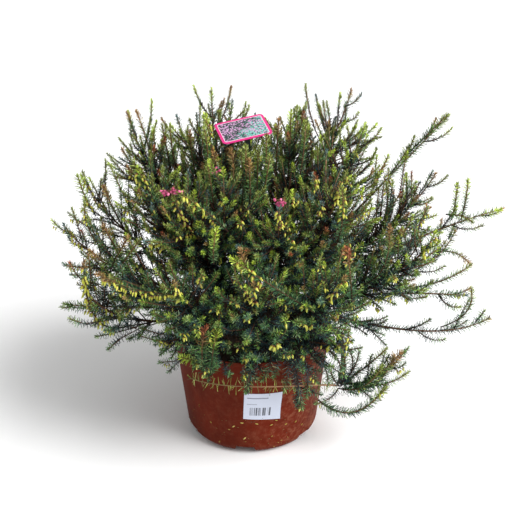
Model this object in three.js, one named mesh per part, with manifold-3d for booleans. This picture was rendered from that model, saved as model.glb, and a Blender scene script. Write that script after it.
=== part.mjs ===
// A Darley Dale heath in its nursery pot: a plastic pot with drainage slots, compost, woody limbs that
// stand in it, leafy sprays of needles and flower buds, two open blooms, a picture label on a stake and
// a price sticker. Millimetres, +Z up. The origin is the middle of the pot's underside, and -Y is the front.
import * as THREE from "three";
import { mergeVertices } from "three/addons/utils/BufferGeometryUtils.js";
import Module from "manifold-3d";

const wasm = await Module();
wasm.setup();

// Pot
const POT_HEIGHT = 140;
const RIM_RADIUS = 96;
const COLLAR_HEIGHT = 26;
const COLLAR_STEP = 1.8;
const COLLAR_DRAFT = 1.4;
const WALL_SLOPE = 0.119; // how much the radius grows for each millimetre of height
const WALL_THICKNESS = 1.6;
const FOOT_FILLET = 16;
const POT_SIDES = 30;
const SLOT_COUNT = 6;
const SLOT_FIRST_AZIMUTH = -96;
const SLOT_WIDTH = 28;
const SLOT_TOP_WIDTH = 22;
const SLOT_HEIGHT = 12;
const SLOT_INNER_RADIUS = 57;

// Compost
const SOIL_TOP = 124;
const SOIL_CROWN = 2.5;
const SOIL_RIPPLE = 1.1;
const SOIL_GAP = 0.8;
const SOIL_SIDES = 20;
const ROOTED_DEPTH = 44;
const HOLE_CLEARANCE = 0.7;
const SOIL_CLEARANCE = 3;

// Label and sticker
const STAKE_AT = new THREE.Vector2(-3, -24);
const STAKE_WIDTH = 6;
const STAKE_THICKNESS = 1.4;
const STAKE_FOOT = 66;
const CARD_WIDTH = 58;
const CARD_HEIGHT = 42;
const CARD_THICKNESS = 1;
const CARD_CORNER = 5;
const CARD_CENTRE = new THREE.Vector3(-9, -4, 393);
const CARD_RIGHT = new THREE.Vector3(55.2, 15.9, 7.3).normalize();
const CARD_DOWN = new THREE.Vector3(11.9, -39.6, -8.9).normalize();
const STICKER_WIDTH = 45;
const STICKER_HEIGHT = 39;
const STICKER_THICKNESS = 0.6;
const STICKER_GAP = 0.3;
const STICKER_AZIMUTH = -81.5;
const STICKER_MIDDLE = 75;
const STICKER_LEAN = -3;

// Limbs, forks and spray axes
const CROWN = new THREE.Vector3(0, 0, 150); // what reaches and bearings of the sprays are measured from
const FORK_REACH = 20;
const JOINT_GAP = 0.4;
const LIMB_SIDES = 4;
const LIMB_RADII = [4, 3.9, 3.4, 2.1];
const FORK_SIDES = 3;
const FORK_RADII = [1.5, 2.1];
const AXIS_SIDES = 4;
const AXIS_RADIUS = 2;
const AXIS_SPACE = 0.6; // kept free round an axis
const CORE_RADIUS = 10;
const LEAN_CORE = 0.3; // of a dense spray's middle
const CORE_SHARE = 0.42; // of the way to the nearest other spray
const CORE_ROUGHNESS = 0.42; // how deep the hollows between a core's corners go, as a share of its radius
const SMOOTH_CORE = 5; // a middle thinner than this is smooth

// Side shoots
const SHOOT_SIDES = 3;
const SHOOT_RADIUS = 3.6;
const SHOOT_RADII = [0.6, SHOOT_RADIUS, 0];
const SHOOT_COUNT = 6;
const LEAN_SHOOT_COUNT = 5;
const SHOOT_SPACING = 26;
const SHOOT_LENGTH = 84;
const LEAN_SHOOT_LENGTH = 42;
const SHOOT_START = 0.22; // of the axis's length
const LEAN_SHOOT_START = 0.42;
const SHOOT_END = 0.95;
const SHOOT_SLANT = 42;
const SHOOT_CLEARANCE = 1;
const SHOOT_TRIES = 14;

// Needles, buds and open bells
const NEEDLE_LENGTH = 11;
const NEEDLE_RADIUS = 0.78;
const NEEDLE_SLANTS = [66, 24]; // off the stem, near its root and near its tip
const NEEDLE_CLEARANCE = 0.45;
const NEEDLE_TRIES = 6;
const PLAIN_NEEDLES = { count: 24, lowest: 0.06 };
const LEAN_NEEDLES = { count: 6, lowest: 0.3 };
const DENSE_NEEDLES = { count: 3, lowest: 0.62 };
const LAST_NEEDLE = 0.92;
const GOLDEN_ANGLE = 137.508;
const BUD_LENGTH = 5.6;
const BUD_RADIUS = 1.6;
const BELL = [[0, 0], [1.9, 2.4], [1.6, 5], [0, 5.6]];
const BLOOM_RADIUS = 6.5;
const BLOOMS = {
  bloom_left: { length: 12, bells: 6 },
  bloom_middle: { length: 11, bells: 5 },
};

// Free space kept between the plant and the pot's rim, and between it and any other surface
const RIM_CLEARANCE = 4;
const SURFACE_CLEARANCE = 1.2;

// Where along their length the stems have their rings, and how wide an axis's dense middle is at each
const LIMB_SHARES = [0, 0.45, 0.75, 1];
const FORK_SHARES = [0, 1];
const SHOOT_SHARES = [0, 0.6, 1];
const AXIS_SHARES = [0, 0.14, 0.28, 0.42, 0.57, 0.75, 1];
const CORE_SHAPE = [0, 0.8, 1, 0.9, 0.6, 0, 0];
const SHOOT_NEEDLES = [0.42, 0.78];

const COLOURS = {
  pot: [0x8a3a24, 0.55],
  soil: [0x2a1d14, 0.95],
  bark: [0x5b3a2a, 0.85],
  leaf: [0x4a5c33, 0.6],
  bloom: [0xc9527e, 0.6],
  label: [0xe86aa8, 0.35],
  paper: [0xe9e9ee, 0.6],
};

// The woody limbs: bearing, how far out each stands in the compost, and where its top is.
const LIMBS = {
  top_back: { azimuth: 80, foot: 26, top: 28, height: 172 },
  top_left: { azimuth: 180, foot: 28, top: 34, height: 170 },
  top_front: { azimuth: -38, foot: 32, top: 36, height: 168 },
  right: { azimuth: 2, foot: 48, top: 58, height: 156 },
  back_right: { azimuth: 52, foot: 50, top: 60, height: 154 },
  back_left: { azimuth: 110, foot: 50, top: 60, height: 154 },
  left: { azimuth: 176, foot: 50, top: 60, height: 154 },
  front_left: { azimuth: -126, foot: 48, top: 56, height: 152 },
  front_right: { azimuth: -76, foot: 48, top: 56, height: 152 },
};

// The leafy sprays by limb: bearing, height angle and reach of the tip from the crown; then how many degrees
// steeper than that line the spray sets off (rise) and ends (turn). A lean spray has a slender middle, buds
// is the number of flower buds, and bloom names the open flower on the tip.
const SPRAYS = [
  { limb: "top_back", azimuth: 27, elevation: 64, reach: 296, rise: 8, turn: 12 },
  { limb: "top_back", azimuth: 66, elevation: 60, reach: 256, rise: 0, turn: 12 },
  { limb: "top_back", azimuth: 103, elevation: 61, reach: 258, rise: 0, turn: 12 },
  { limb: "top_back", azimuth: 142, elevation: 64, reach: 256, rise: 8, turn: 10 },
  { limb: "top_left", azimuth: 137, elevation: 77, reach: 280, rise: 4, turn: 4 },
  { limb: "top_left", azimuth: 162, elevation: 58, reach: 286, rise: 4, turn: 14 },
  { limb: "top_left", azimuth: -160, elevation: 58, reach: 252, rise: 0, turn: 10, buds: 2 },
  { limb: "top_left", azimuth: -128, elevation: 57, reach: 246, rise: 8, turn: 6, bloom: "bloom_left" },
  { limb: "top_left", azimuth: -106, elevation: 66, reach: 258, rise: 9, turn: 8, buds: 2 },
  { limb: "top_front", azimuth: -76, elevation: 58, reach: 238, rise: 8, turn: 6, bloom: "bloom_middle" },
  { limb: "top_front", azimuth: 34, elevation: 76, reach: 262, rise: 0, turn: 4 },
  { limb: "top_front", azimuth: -36, elevation: 60, reach: 256, rise: 0, turn: 10, buds: 2 },
  { limb: "top_front", azimuth: 4, elevation: 62, reach: 276, rise: 4, turn: 10 },
  { limb: "right", azimuth: 2, elevation: 25, reach: 322, rise: 12, turn: -14, lean: true },
  { limb: "right", azimuth: -19, elevation: 34, reach: 262, rise: 0, turn: 34, buds: 2 },
  { limb: "right", azimuth: 18, elevation: 33.5, reach: 280, rise: 10, turn: 18 },
  { limb: "right", azimuth: -17, elevation: 15, reach: 264, rise: 16, turn: -10, lean: true },
  { limb: "right", azimuth: 0, elevation: -1, reach: 288, rise: -4, turn: 34, lean: true },
  { limb: "right", azimuth: 14, elevation: 18, reach: 270, rise: -2, turn: 50, lean: true },
  { limb: "back_right", azimuth: 30, elevation: 36, reach: 346, rise: 4, turn: 0, lean: true },
  { limb: "back_right", azimuth: 60, elevation: 37, reach: 254, rise: 4, turn: 16 },
  { limb: "back_right", azimuth: 46, elevation: 12, reach: 220, rise: 6, turn: 24, buds: 2 },
  { limb: "back_left", azimuth: 92, elevation: 38, reach: 254, rise: 4, turn: 16 },
  { limb: "back_left", azimuth: 126, elevation: 37, reach: 256, rise: 4, turn: 16 },
  { limb: "back_left", azimuth: 82, elevation: 11, reach: 216, rise: 6, turn: 22 },
  { limb: "back_left", azimuth: 122, elevation: 11, reach: 216, rise: 6, turn: 24, buds: 2 },
  { limb: "left", azimuth: 161, elevation: 35, reach: 266, rise: 6, turn: 20, buds: 2 },
  { limb: "left", azimuth: -175, elevation: 31, reach: 254, rise: 4, turn: 26, buds: 3 },
  { limb: "left", azimuth: 161, elevation: 9, reach: 222, rise: 6, turn: 20 },
  { limb: "left", azimuth: -176, elevation: 6, reach: 224, rise: 8, turn: 4, lean: true },
  { limb: "left", azimuth: -156, elevation: 27, reach: 228, rise: -28, turn: 70, buds: 5 },
  { limb: "front_left", azimuth: -142, elevation: 31, reach: 226, rise: 10, turn: -6, buds: 6 },
  { limb: "front_left", azimuth: -116, elevation: 36, reach: 228, rise: 4, turn: 18, buds: 3 },
  { limb: "front_left", azimuth: -131, elevation: 13, reach: 168, rise: 10, turn: 14 },
  { limb: "front_left", azimuth: -106, elevation: 22, reach: 178, rise: 8, turn: 22, buds: 2 },
  { limb: "front_left", azimuth: -118, elevation: 0, reach: 138, rise: 14, turn: -14, buds: 1 },
  { limb: "front_right", azimuth: -62, elevation: -28, reach: 129, rise: 64, turn: -50, lean: true },
  { limb: "front_right", azimuth: -89, elevation: 38, reach: 226, rise: 4, turn: 14, buds: 2 },
  { limb: "front_right", azimuth: -58, elevation: 36, reach: 234, rise: 4, turn: 18, buds: 3 },
  { limb: "front_right", azimuth: -80, elevation: 20, reach: 170, rise: 8, turn: 22, buds: 2 },
  { limb: "front_right", azimuth: -50, elevation: 14, reach: 180, rise: 8, turn: 20, buds: 2 },
  { limb: "front_right", azimuth: -94, elevation: -4, reach: 132, rise: 18, turn: -24, buds: 1 },
];

// The limb that hangs over the rim at the front right, and the two sprays it carries below the rim.
const HANGING_LIMB = [
  [58, -34, 80],
  [62, -36, 190],
  [124, -58, 184],
  [104.5, -61, 91],
];
const ACROSS_POT = [
  [103.7, -62.6, 88.4],
  [81, -128, 136],
  [-20, -135, 123],
  [-72, -86, 114],
];
const OUT_FROM_RIM = [
  [107.6, -61, 93.6],
  [128, -64, 84],
  [160, -62, 100],
  [180, -60, 134],
];

// Repeatable draws from 0 to 1, by the mulberry32 rule.
function draws(seed) {
  let state = seed >>> 0;
  return () => {
    state = (state + 0x6d2b79f5) >>> 0;
    let mixed = Math.imul(state ^ (state >>> 15), state | 1);
    mixed ^= mixed + Math.imul(mixed ^ (mixed >>> 7), mixed | 61);
    return ((mixed ^ (mixed >>> 14)) >>> 0) / 4294967296;
  };
}

const radians = THREE.MathUtils.degToRad;
const vector = ([x, y, z]) => new THREE.Vector3(x, y, z);

// The unit vector at a bearing from +X and an angle above the horizon, in degrees.
function heading(azimuth, elevation) {
  const flat = Math.cos(radians(elevation));
  return new THREE.Vector3(
    flat * Math.cos(radians(azimuth)),
    flat * Math.sin(radians(azimuth)),
    Math.sin(radians(elevation)),
  );
}

// The same direction, raised by some degrees in its own vertical plane.
function raised(direction, degrees) {
  const azimuth = THREE.MathUtils.radToDeg(Math.atan2(direction.y, direction.x));
  const elevation = THREE.MathUtils.radToDeg(Math.asin(direction.z));
  return heading(azimuth, elevation + degrees);
}

// A three.js geometry as a closed solid: vertices shared, faces that closed up dropped.
function solid(geometry) {
  const bare = new THREE.BufferGeometry();
  bare.setAttribute("position", geometry.getAttribute("position"));
  if (geometry.index) bare.setIndex(geometry.index);
  const merged = mergeVertices(bare, 1e-4);
  const from = merged.index.array;
  const faces = [];
  for (let i = 0; i < from.length; i += 3) {
    const [a, b, c] = [from[i], from[i + 1], from[i + 2]];
    if (a !== b && b !== c && c !== a) faces.push(a, b, c);
  }
  const mesh = new wasm.Mesh({
    numProp: 3,
    vertProperties: new Float32Array(merged.attributes.position.array),
    triVerts: new Uint32Array(faces),
  });
  mesh.merge();
  return new wasm.Manifold(mesh);
}

// A solid as a named mesh in its colour.
function piece(name, body, colour) {
  const made = body.getMesh();
  const positions = new Float32Array(made.numVert * 3);
  for (let i = 0; i < made.numVert; i++) {
    positions.set(made.vertProperties.subarray(i * made.numProp, i * made.numProp + 3), i * 3);
  }
  const geometry = new THREE.BufferGeometry();
  geometry.setAttribute("position", new THREE.BufferAttribute(positions, 3));
  geometry.setIndex(new THREE.BufferAttribute(new Uint32Array(made.triVerts), 1));
  const [hex, roughness] = COLOURS[colour];
  const mesh = new THREE.Mesh(
    geometry,
    new THREE.MeshStandardMaterial({ color: hex, roughness, metalness: 0, flatShading: true }),
  );
  mesh.name = name;
  return mesh;
}

// A profile of [radius, height] turned about the Z axis.
function turned(profile, sides) {
  const points = profile.map(([radius, height]) => new THREE.Vector2(radius, height));
  return solid(new THREE.LatheGeometry(points, sides).rotateX(Math.PI / 2));
}

// A stem's middle line: straight lengths between points of a smooth curve.
class Stem {
  constructor(curve, shares) {
    this.curve = curve;
    this.shares = shares;
    this.places = shares.map((share) => curve.getPoint(share));
    const start = curve.getTangent(0);
    const across = start.clone().cross(curve.getTangent(1));
    const other = Math.abs(start.z) < 0.9 ? new THREE.Vector3(0, 0, 1) : new THREE.Vector3(1, 0, 0);
    this.across = (across.length() > 0.05 ? across : start.cross(other)).normalize();
  }

  at(share) {
    const after = this.shares.findIndex((each) => each > share);
    const i = after < 1 ? this.shares.length - 2 : after - 1;
    const within = (share - this.shares[i]) / (this.shares[i + 1] - this.shares[i]);
    return this.places[i].clone().lerp(this.places[i + 1], within);
  }

  along(share) {
    return this.curve.getTangent(share);
  }

  // The direction out of the stem at a share of its length and an angle round it, in degrees.
  outward(share, around) {
    const along = this.along(share);
    const normal = this.across.clone().addScaledVector(along, -this.across.dot(along)).normalize();
    const binormal = along.clone().cross(normal);
    return normal.multiplyScalar(Math.cos(radians(around))).addScaledVector(binormal, Math.sin(radians(around)));
  }

  get length() {
    return this.places[0].distanceTo(this.places.at(-1));
  }
}

// The angle round a rod's stem, in degrees, at which the middle of one of its flat sides lies.
const flatSide = (sides, order) => ((order + 0.5) * 360) / sides - 90;

// A rod along a stem, with a ring at each of its places. radiusAt gives the radius by ring and corner.
function rod(stem, sides, radiusAt) {
  const rings = stem.places.length - 1;
  const geometry = new THREE.CylinderGeometry(1, 1, 1, sides, rings);
  const spots = geometry.getAttribute("position");
  for (let i = 0; i < spots.count; i++) {
    const ring = Math.round((spots.getY(i) + 0.5) * rings);
    const fromMiddle = Math.hypot(spots.getX(i), spots.getZ(i));
    const turn = Math.atan2(spots.getX(i), spots.getZ(i)) / (2 * Math.PI);
    const corner = Math.round(turn * sides + sides) % sides;
    const out = stem.outward(stem.shares[ring], turn * 360 - 90);
    const place = stem.places[ring].clone().addScaledVector(out, fromMiddle * radiusAt(ring, corner));
    spots.setXYZ(i, place.x, place.y, place.z);
  }
  return solid(geometry);
}

// A shape that stands on the Y axis, stood along a direction from a place instead.
function stood(geometry, place, direction, roll) {
  const turn = new THREE.Quaternion().setFromUnitVectors(new THREE.Vector3(0, 1, 0), direction);
  return solid(geometry.rotateY(roll).applyQuaternion(turn).translate(place.x, place.y, place.z));
}

const outline = (rows) => rows.map(([radius, height]) => new THREE.Vector2(radius, height));

// The least distance between two straight lengths.
function apart(a, b, c, d) {
  const along = b.clone().sub(a);
  const other = d.clone().sub(c);
  const between = a.clone().sub(c);
  const aa = along.lengthSq();
  const bb = other.lengthSq();
  const ab = along.dot(other);
  const ar = along.dot(between);
  const br = other.dot(between);
  const spread = aa * bb - ab * ab;
  let s = spread > 1e-9 ? THREE.MathUtils.clamp((ab * br - ar * bb) / spread, 0, 1) : 0;
  let t = (ab * s + br) / bb;
  if (t < 0 || t > 1) {
    t = THREE.MathUtils.clamp(t, 0, 1);
    s = THREE.MathUtils.clamp((ab * t - ar) / aa, 0, 1);
  }
  return between.addScaledVector(along, s).addScaledVector(other, -t).length();
}

// What is already there, as straight lengths with a radius and an owner.
const taken = [];

function take(points, radii, owner) {
  for (let i = 0; i + 1 < points.length; i++) {
    taken.push({ a: points[i], b: points[i + 1], radius: Math.max(radii[i], radii[i + 1]), owner });
  }
}

function takeStem(stem, radius, owner) {
  take(stem.places, stem.places.map(() => radius), owner);
}

function outsidePot(point, margin) {
  const radius = Math.hypot(point.x, point.y);
  if (point.z > POT_HEIGHT + margin || radius > RIM_RADIUS + margin) return true;
  const overSoil = point.z > SOIL_TOP + margin + SOIL_CLEARANCE;
  return overSoil && radius < RIM_RADIUS - WALL_THICKNESS - RIM_CLEARANCE - margin;
}

function offCard(point, margin) {
  const offset = point.clone().sub(CARD_CENTRE);
  const right = Math.abs(offset.dot(CARD_RIGHT));
  const down = Math.abs(offset.dot(CARD_DOWN));
  const away = Math.abs(offset.dot(CARD_RIGHT.clone().cross(CARD_DOWN)));
  return right > CARD_WIDTH / 2 + margin || down > CARD_HEIGHT / 2 + margin || away > margin;
}

// True if a thin stem through these points clears the pot, the label and every other node's stems.
function clear(points, radius, gap, owner) {
  const margin = radius + SURFACE_CLEARANCE;
  for (let i = 0; i + 1 < points.length; i++) {
    const [a, b] = [points[i], points[i + 1]];
    for (const share of [0, 0.33, 0.67, 1]) {
      const at = a.clone().lerp(b, share);
      if (!outsidePot(at, margin) || !offCard(at, margin)) return false;
    }
    for (const other of taken) {
      if (other.owner !== owner && apart(a, b, other.a, other.b) < radius + other.radius + gap) return false;
    }
  }
  return true;
}

// Pot

function wallRadius(height) {
  const collarBottom = POT_HEIGHT - COLLAR_HEIGHT;
  if (height >= collarBottom) {
    return RIM_RADIUS - (COLLAR_DRAFT * (POT_HEIGHT - height)) / COLLAR_HEIGHT;
  }
  return RIM_RADIUS - COLLAR_DRAFT - COLLAR_STEP - WALL_SLOPE * (collarBottom - height);
}

// The rounded foot's line, moved inwards by some millimetres, at angles up from its lowest point.
function footLine(inwards, angles) {
  const centre = wallRadius(FOOT_FILLET) - FOOT_FILLET;
  const fillet = FOOT_FILLET - inwards;
  return angles.map((angle) => [
    centre + fillet * Math.sin(radians(angle)),
    FOOT_FILLET - fillet * Math.cos(radians(angle)),
  ]);
}

// The hollow's line from the middle of the floor to a height, moved inwards by some millimetres.
function hollowLine(inwards, height) {
  const foot = footLine(inwards, [10, 50, 86]);
  const [radius, bottom] = foot.at(-1);
  const share = (height - bottom) / (POT_HEIGHT - bottom);
  return [[0, inwards], ...foot, [THREE.MathUtils.lerp(radius, RIM_RADIUS - inwards, share), height]];
}

// The space of every drainage slot, grown by some millimetres at its sides and top, from a depth of its own.
function drainageSlots(grown, bottom) {
  const face = new THREE.Shape([
    new THREE.Vector2(-SLOT_WIDTH / 2 - grown, bottom),
    new THREE.Vector2(SLOT_WIDTH / 2 + grown, bottom),
    new THREE.Vector2(SLOT_TOP_WIDTH / 2 + grown, SLOT_HEIGHT + grown),
    new THREE.Vector2(-SLOT_TOP_WIDTH / 2 - grown, SLOT_HEIGHT + grown),
  ]);
  return Array.from({ length: SLOT_COUNT }, (_, i) => {
    const block = new THREE.ExtrudeGeometry(face, { depth: RIM_RADIUS - SLOT_INNER_RADIUS, bevelEnabled: false });
    const turn = radians(SLOT_FIRST_AZIMUTH + 90 + (360 / SLOT_COUNT) * i);
    return solid(block.rotateX(Math.PI / 2).translate(0, -SLOT_INNER_RADIUS, 0).rotateZ(turn));
  });
}

// The pot: its shell, with walls round each drainage slot, which is open outwards, downwards and to the compost.
function pot() {
  const collarBottom = POT_HEIGHT - COLLAR_HEIGHT;
  const outside = [
    [0, 0],
    ...footLine(0, [0, 24, 50, 86]),
    [wallRadius(collarBottom - 1), collarBottom - 1],
    [wallRadius(collarBottom), collarBottom + 0.5],
    [RIM_RADIUS, POT_HEIGHT],
  ];
  const full = turned([...outside, [0, POT_HEIGHT]], POT_SIDES);
  let body = turned([...outside, ...hollowLine(WALL_THICKNESS, POT_HEIGHT).reverse()], POT_SIDES);
  for (const walls of drainageSlots(WALL_THICKNESS, 0)) body = body.add(walls.intersect(full));
  for (const space of drainageSlots(0, -1)) body = body.subtract(space);
  return body;
}

// Compost

function soilHeight(x, y) {
  const share = Math.hypot(x, y) / RIM_RADIUS;
  return SOIL_TOP + SOIL_CROWN * (1 - share * share) + SOIL_RIPPLE * Math.sin(x / 9 + 1) * Math.cos(y / 11);
}

function soil(stems) {
  const profile = [...hollowLine(WALL_THICKNESS + SOIL_GAP, SOIL_TOP), [46, SOIL_TOP], [0, SOIL_TOP]];
  const geometry = new THREE.LatheGeometry(outline(profile), SOIL_SIDES).rotateX(Math.PI / 2);
  const spots = geometry.getAttribute("position");
  for (let i = 0; i < spots.count; i++) {
    if (Math.abs(spots.getZ(i) - SOIL_TOP) > 0.01) continue;
    spots.setZ(i, soilHeight(Math.round(spots.getX(i)), Math.round(spots.getY(i))));
  }
  const spaces = [...drainageSlots(WALL_THICKNESS + SOIL_GAP, 0), ...stems];
  return spaces.reduce((body, space) => body.subtract(space), solid(geometry));
}

// Label and sticker

function stake(extra) {
  const top = CARD_CENTRE.clone().addScaledVector(CARD_DOWN, CARD_HEIGHT / 2 - 2);
  const length = top.z - STAKE_FOOT + extra;
  const strip = new THREE.BoxGeometry(STAKE_WIDTH + 2 * extra, STAKE_THICKNESS + 2 * extra, length);
  const bearing = Math.atan2(CARD_RIGHT.y, CARD_RIGHT.x);
  return solid(strip.rotateZ(bearing).translate(top.x, top.y, top.z - length / 2));
}

function label() {
  const [x, y] = [CARD_WIDTH / 2 - CARD_CORNER, CARD_HEIGHT / 2 - CARD_CORNER];
  const face = new THREE.Shape();
  face.absarc(x, y, CARD_CORNER, 0, Math.PI / 2);
  face.absarc(-x, y, CARD_CORNER, Math.PI / 2, Math.PI);
  face.absarc(-x, -y, CARD_CORNER, Math.PI, 1.5 * Math.PI);
  face.absarc(x, -y, CARD_CORNER, 1.5 * Math.PI, 2 * Math.PI);
  const card = new THREE.ExtrudeGeometry(face, { depth: CARD_THICKNESS, bevelEnabled: false, curveSegments: 3 });
  const up = CARD_DOWN.clone().negate();
  up.addScaledVector(CARD_RIGHT, -up.dot(CARD_RIGHT)).normalize();
  const place = new THREE.Matrix4().makeBasis(CARD_RIGHT, up, CARD_RIGHT.clone().cross(up));
  card.applyMatrix4(place).translate(CARD_CENTRE.x, CARD_CENTRE.y, CARD_CENTRE.z);
  return solid(card).add(stake(0));
}

function sticker() {
  const sheet = new THREE.BoxGeometry(STICKER_WIDTH, STICKER_HEIGHT, STICKER_THICKNESS, 6, 1, 1);
  sheet.rotateZ(radians(STICKER_LEAN));
  const spots = sheet.getAttribute("position");
  for (let i = 0; i < spots.count; i++) {
    const height = STICKER_MIDDLE + spots.getY(i);
    const radius = wallRadius(height) + STICKER_GAP + STICKER_THICKNESS / 2 + spots.getZ(i);
    const angle = radians(STICKER_AZIMUTH) + spots.getX(i) / wallRadius(STICKER_MIDDLE);
    spots.setXYZ(i, radius * Math.cos(angle), radius * Math.sin(angle), height);
  }
  return solid(sheet);
}

// Plant

// A limb's line, from its foot in the compost to its top.
function limbLine({ azimuth, foot, top, height }) {
  const low = heading(azimuth, 0).multiplyScalar(foot);
  const high = heading(azimuth, 0).multiplyScalar(top);
  const curve = new THREE.CubicBezierCurve3(
    low.clone().setZ(SOIL_TOP - ROOTED_DEPTH),
    low.clone().setZ(SOIL_TOP + 10),
    high.clone().lerp(low, 0.5).setZ(height - 10),
    high.clone().setZ(height),
  );
  return new Stem(curve, LIMB_SHARES);
}

// A spray's fork and axis. Each fork of a limb leaves it a little lower than the one before.
function layOut(spray, limb, order) {
  const root = limb.at(0.97 - 0.05 * order);
  const tip = CROWN.clone().addScaledVector(heading(spray.azimuth, spray.elevation), spray.reach);
  const toTip = tip.clone().sub(root).normalize();
  const start = raised(toTip, spray.rise);
  const end = raised(toTip, spray.turn);
  const base = root.clone().addScaledVector(start, FORK_REACH);
  const third = tip.distanceTo(base) / 3;
  const axis = new THREE.CubicBezierCurve3(
    base.clone().addScaledVector(start, JOINT_GAP),
    base.clone().addScaledVector(start, third),
    tip.clone().addScaledVector(end, -third),
    tip,
  );
  return { fork: new Stem(new THREE.LineCurve3(root, base), FORK_SHARES), axis: new Stem(axis, AXIS_SHARES) };
}

// An axis's radius at each ring: the bare stem, with the dense middle held in from every other spray.
function axisRadii(spray) {
  return AXIS_SHARES.map((share, ring) => {
    if (ring === AXIS_SHARES.length - 1) return 0;
    const at = spray.axis.places[ring];
    const above = at.clone().add(new THREE.Vector3(0, 0, 0.01));
    const others = taken.filter((other) => other.owner !== spray.name);
    const nearest = Math.min(...others.map((other) => apart(at, above, other.a, other.b)));
    const wanted = (spray.lean ? LEAN_CORE : 1) * CORE_RADIUS * CORE_SHAPE[ring];
    return Math.max(Math.min(wanted, CORE_SHARE * nearest), AXIS_RADIUS + share);
  });
}

// A side shoot: it leaves the axis at a slant, then bends up and along the axis towards the light.
function shootLine(spray, order, attempt) {
  const draw = draws(spray.seed * 1000 + order * 20 + attempt);
  const first = spray.lean ? LEAN_SHOOT_START : SHOOT_START;
  const share = THREE.MathUtils.lerp(first, SHOOT_END, (order + draw()) / spray.shootCount);
  const along = spray.axis.along(share);
  const out = spray.axis.outward(share, flatSide(AXIS_SIDES, order + attempt) + 30 * (draw() - 0.5));
  const slant = radians(SHOOT_SLANT + 18 * draw());
  const leave = along.clone().multiplyScalar(Math.cos(slant)).addScaledVector(out, Math.sin(slant));
  const finish = leave.clone().multiplyScalar(0.4).addScaledVector(along, 0.3);
  finish.z += 0.5;
  finish.normalize();
  const longest = (1 - share) * spray.axis.length + 6 + 8 * draw();
  const usual = spray.lean ? LEAN_SHOOT_LENGTH : SHOOT_LENGTH;
  const length = Math.min(longest, usual) * (1 - 0.03 * attempt);
  const root = spray.axis.at(share);
  const bend = root.clone().addScaledVector(leave, length * 0.5);
  const tip = bend.clone().addScaledVector(finish, length * 0.5);
  return new Stem(new THREE.QuadraticBezierCurve3(root, bend, tip), SHOOT_SHARES);
}

function growShoot(spray, order) {
  for (let attempt = 0; attempt < SHOOT_TRIES; attempt++) {
    const shoot = shootLine(spray, order, attempt);
    if (clear(shoot.places, SHOOT_RADIUS, SHOOT_CLEARANCE, spray.name)) {
      takeStem(shoot, SHOOT_RADIUS, spray.name);
      spray.shoots.push(shoot);
      return;
    }
  }
}

// One needle, out of the middle of a flat side of its stem, and closer to the stem near the tip.
function growNeedle(spray, stem, sides, share, order) {
  for (let attempt = 0; attempt < NEEDLE_TRIES; attempt++) {
    const draw = draws(spray.seed * 7919 + order * 10 + attempt);
    const around = flatSide(sides, order + attempt) + (120 / sides) * (draw() - 0.5);
    const slant = radians(THREE.MathUtils.lerp(...NEEDLE_SLANTS, share) + 10 * draw());
    const direction = stem.along(share).multiplyScalar(Math.cos(slant));
    direction.addScaledVector(stem.outward(share, around), Math.sin(slant));
    const length = NEEDLE_LENGTH * (0.85 + 0.3 * draw());
    const root = stem.at(share);
    const tip = root.clone().addScaledVector(direction, length);
    if (clear([root, tip], NEEDLE_RADIUS, NEEDLE_CLEARANCE, spray.name)) {
      take([root, tip], [NEEDLE_RADIUS, NEEDLE_RADIUS], spray.name);
      const cone = new THREE.CylinderGeometry(0, NEEDLE_RADIUS, length, 3, 1).translate(0, length / 2, 0);
      spray.parts.push(stood(cone, root, direction, 6.28 * draw()));
      return;
    }
  }
}

// A closed flower bud, hung from one of the spray's stems.
function growBud(spray, order) {
  const draw = draws(spray.seed * 104729 + order);
  const stems = [spray.axis, ...spray.shoots].slice(0, 3);
  const root = stems[order % stems.length].at(THREE.MathUtils.lerp(0.6, 0.9, draw()));
  const direction = new THREE.Vector3(draw() - 0.5, draw() - 0.5, -1.1).normalize();
  const tip = root.clone().addScaledVector(direction, BUD_LENGTH);
  if (!clear([root, tip], BUD_RADIUS, NEEDLE_CLEARANCE, spray.name)) return;
  take([root, tip], [BUD_RADIUS, BUD_RADIUS], spray.name);
  const shape = outline([[0, 0], [BUD_RADIUS, 0.62 * BUD_LENGTH], [0, BUD_LENGTH]]);
  spray.parts.push(stood(new THREE.LatheGeometry(shape, 4), root, direction, draw()));
}

function axisNeedles(spray) {
  if (spray.plain) return PLAIN_NEEDLES;
  return spray.lean ? LEAN_NEEDLES : DENSE_NEEDLES;
}

// A spray's axis, with its dense middle made jagged.
function axisRod(spray) {
  const draw = draws(spray.seed);
  const uneven = AXIS_SHARES.map(() => Array.from({ length: AXIS_SIDES }, () => 0.8 + 0.4 * draw()));
  return rod(spray.axis, AXIS_SIDES, (ring, corner) => {
    const radius = spray.core[ring];
    if (radius < SMOOTH_CORE) return radius;
    return radius * ((ring + corner) % 2 ? 1 : CORE_ROUGHNESS) * uneven[ring][corner];
  });
}

function growSpray(spray) {
  spray.parts.push(axisRod(spray));
  for (const shoot of spray.shoots) spray.parts.push(rod(shoot, SHOOT_SIDES, (ring) => SHOOT_RADII[ring]));
  for (let i = 0; i < spray.buds; i++) growBud(spray, i);
  let order = 0;
  for (const shoot of spray.shoots) {
    for (const share of SHOOT_NEEDLES) growNeedle(spray, shoot, SHOOT_SIDES, share, order++);
  }
  const { count, lowest } = axisNeedles(spray);
  for (let i = 0; i < count; i++) {
    const share = THREE.MathUtils.lerp(lowest, LAST_NEEDLE, i / (count - 1));
    growNeedle(spray, spray.axis, AXIS_SIDES, share, order++);
  }
  return wasm.Manifold.union(spray.parts);
}

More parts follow.
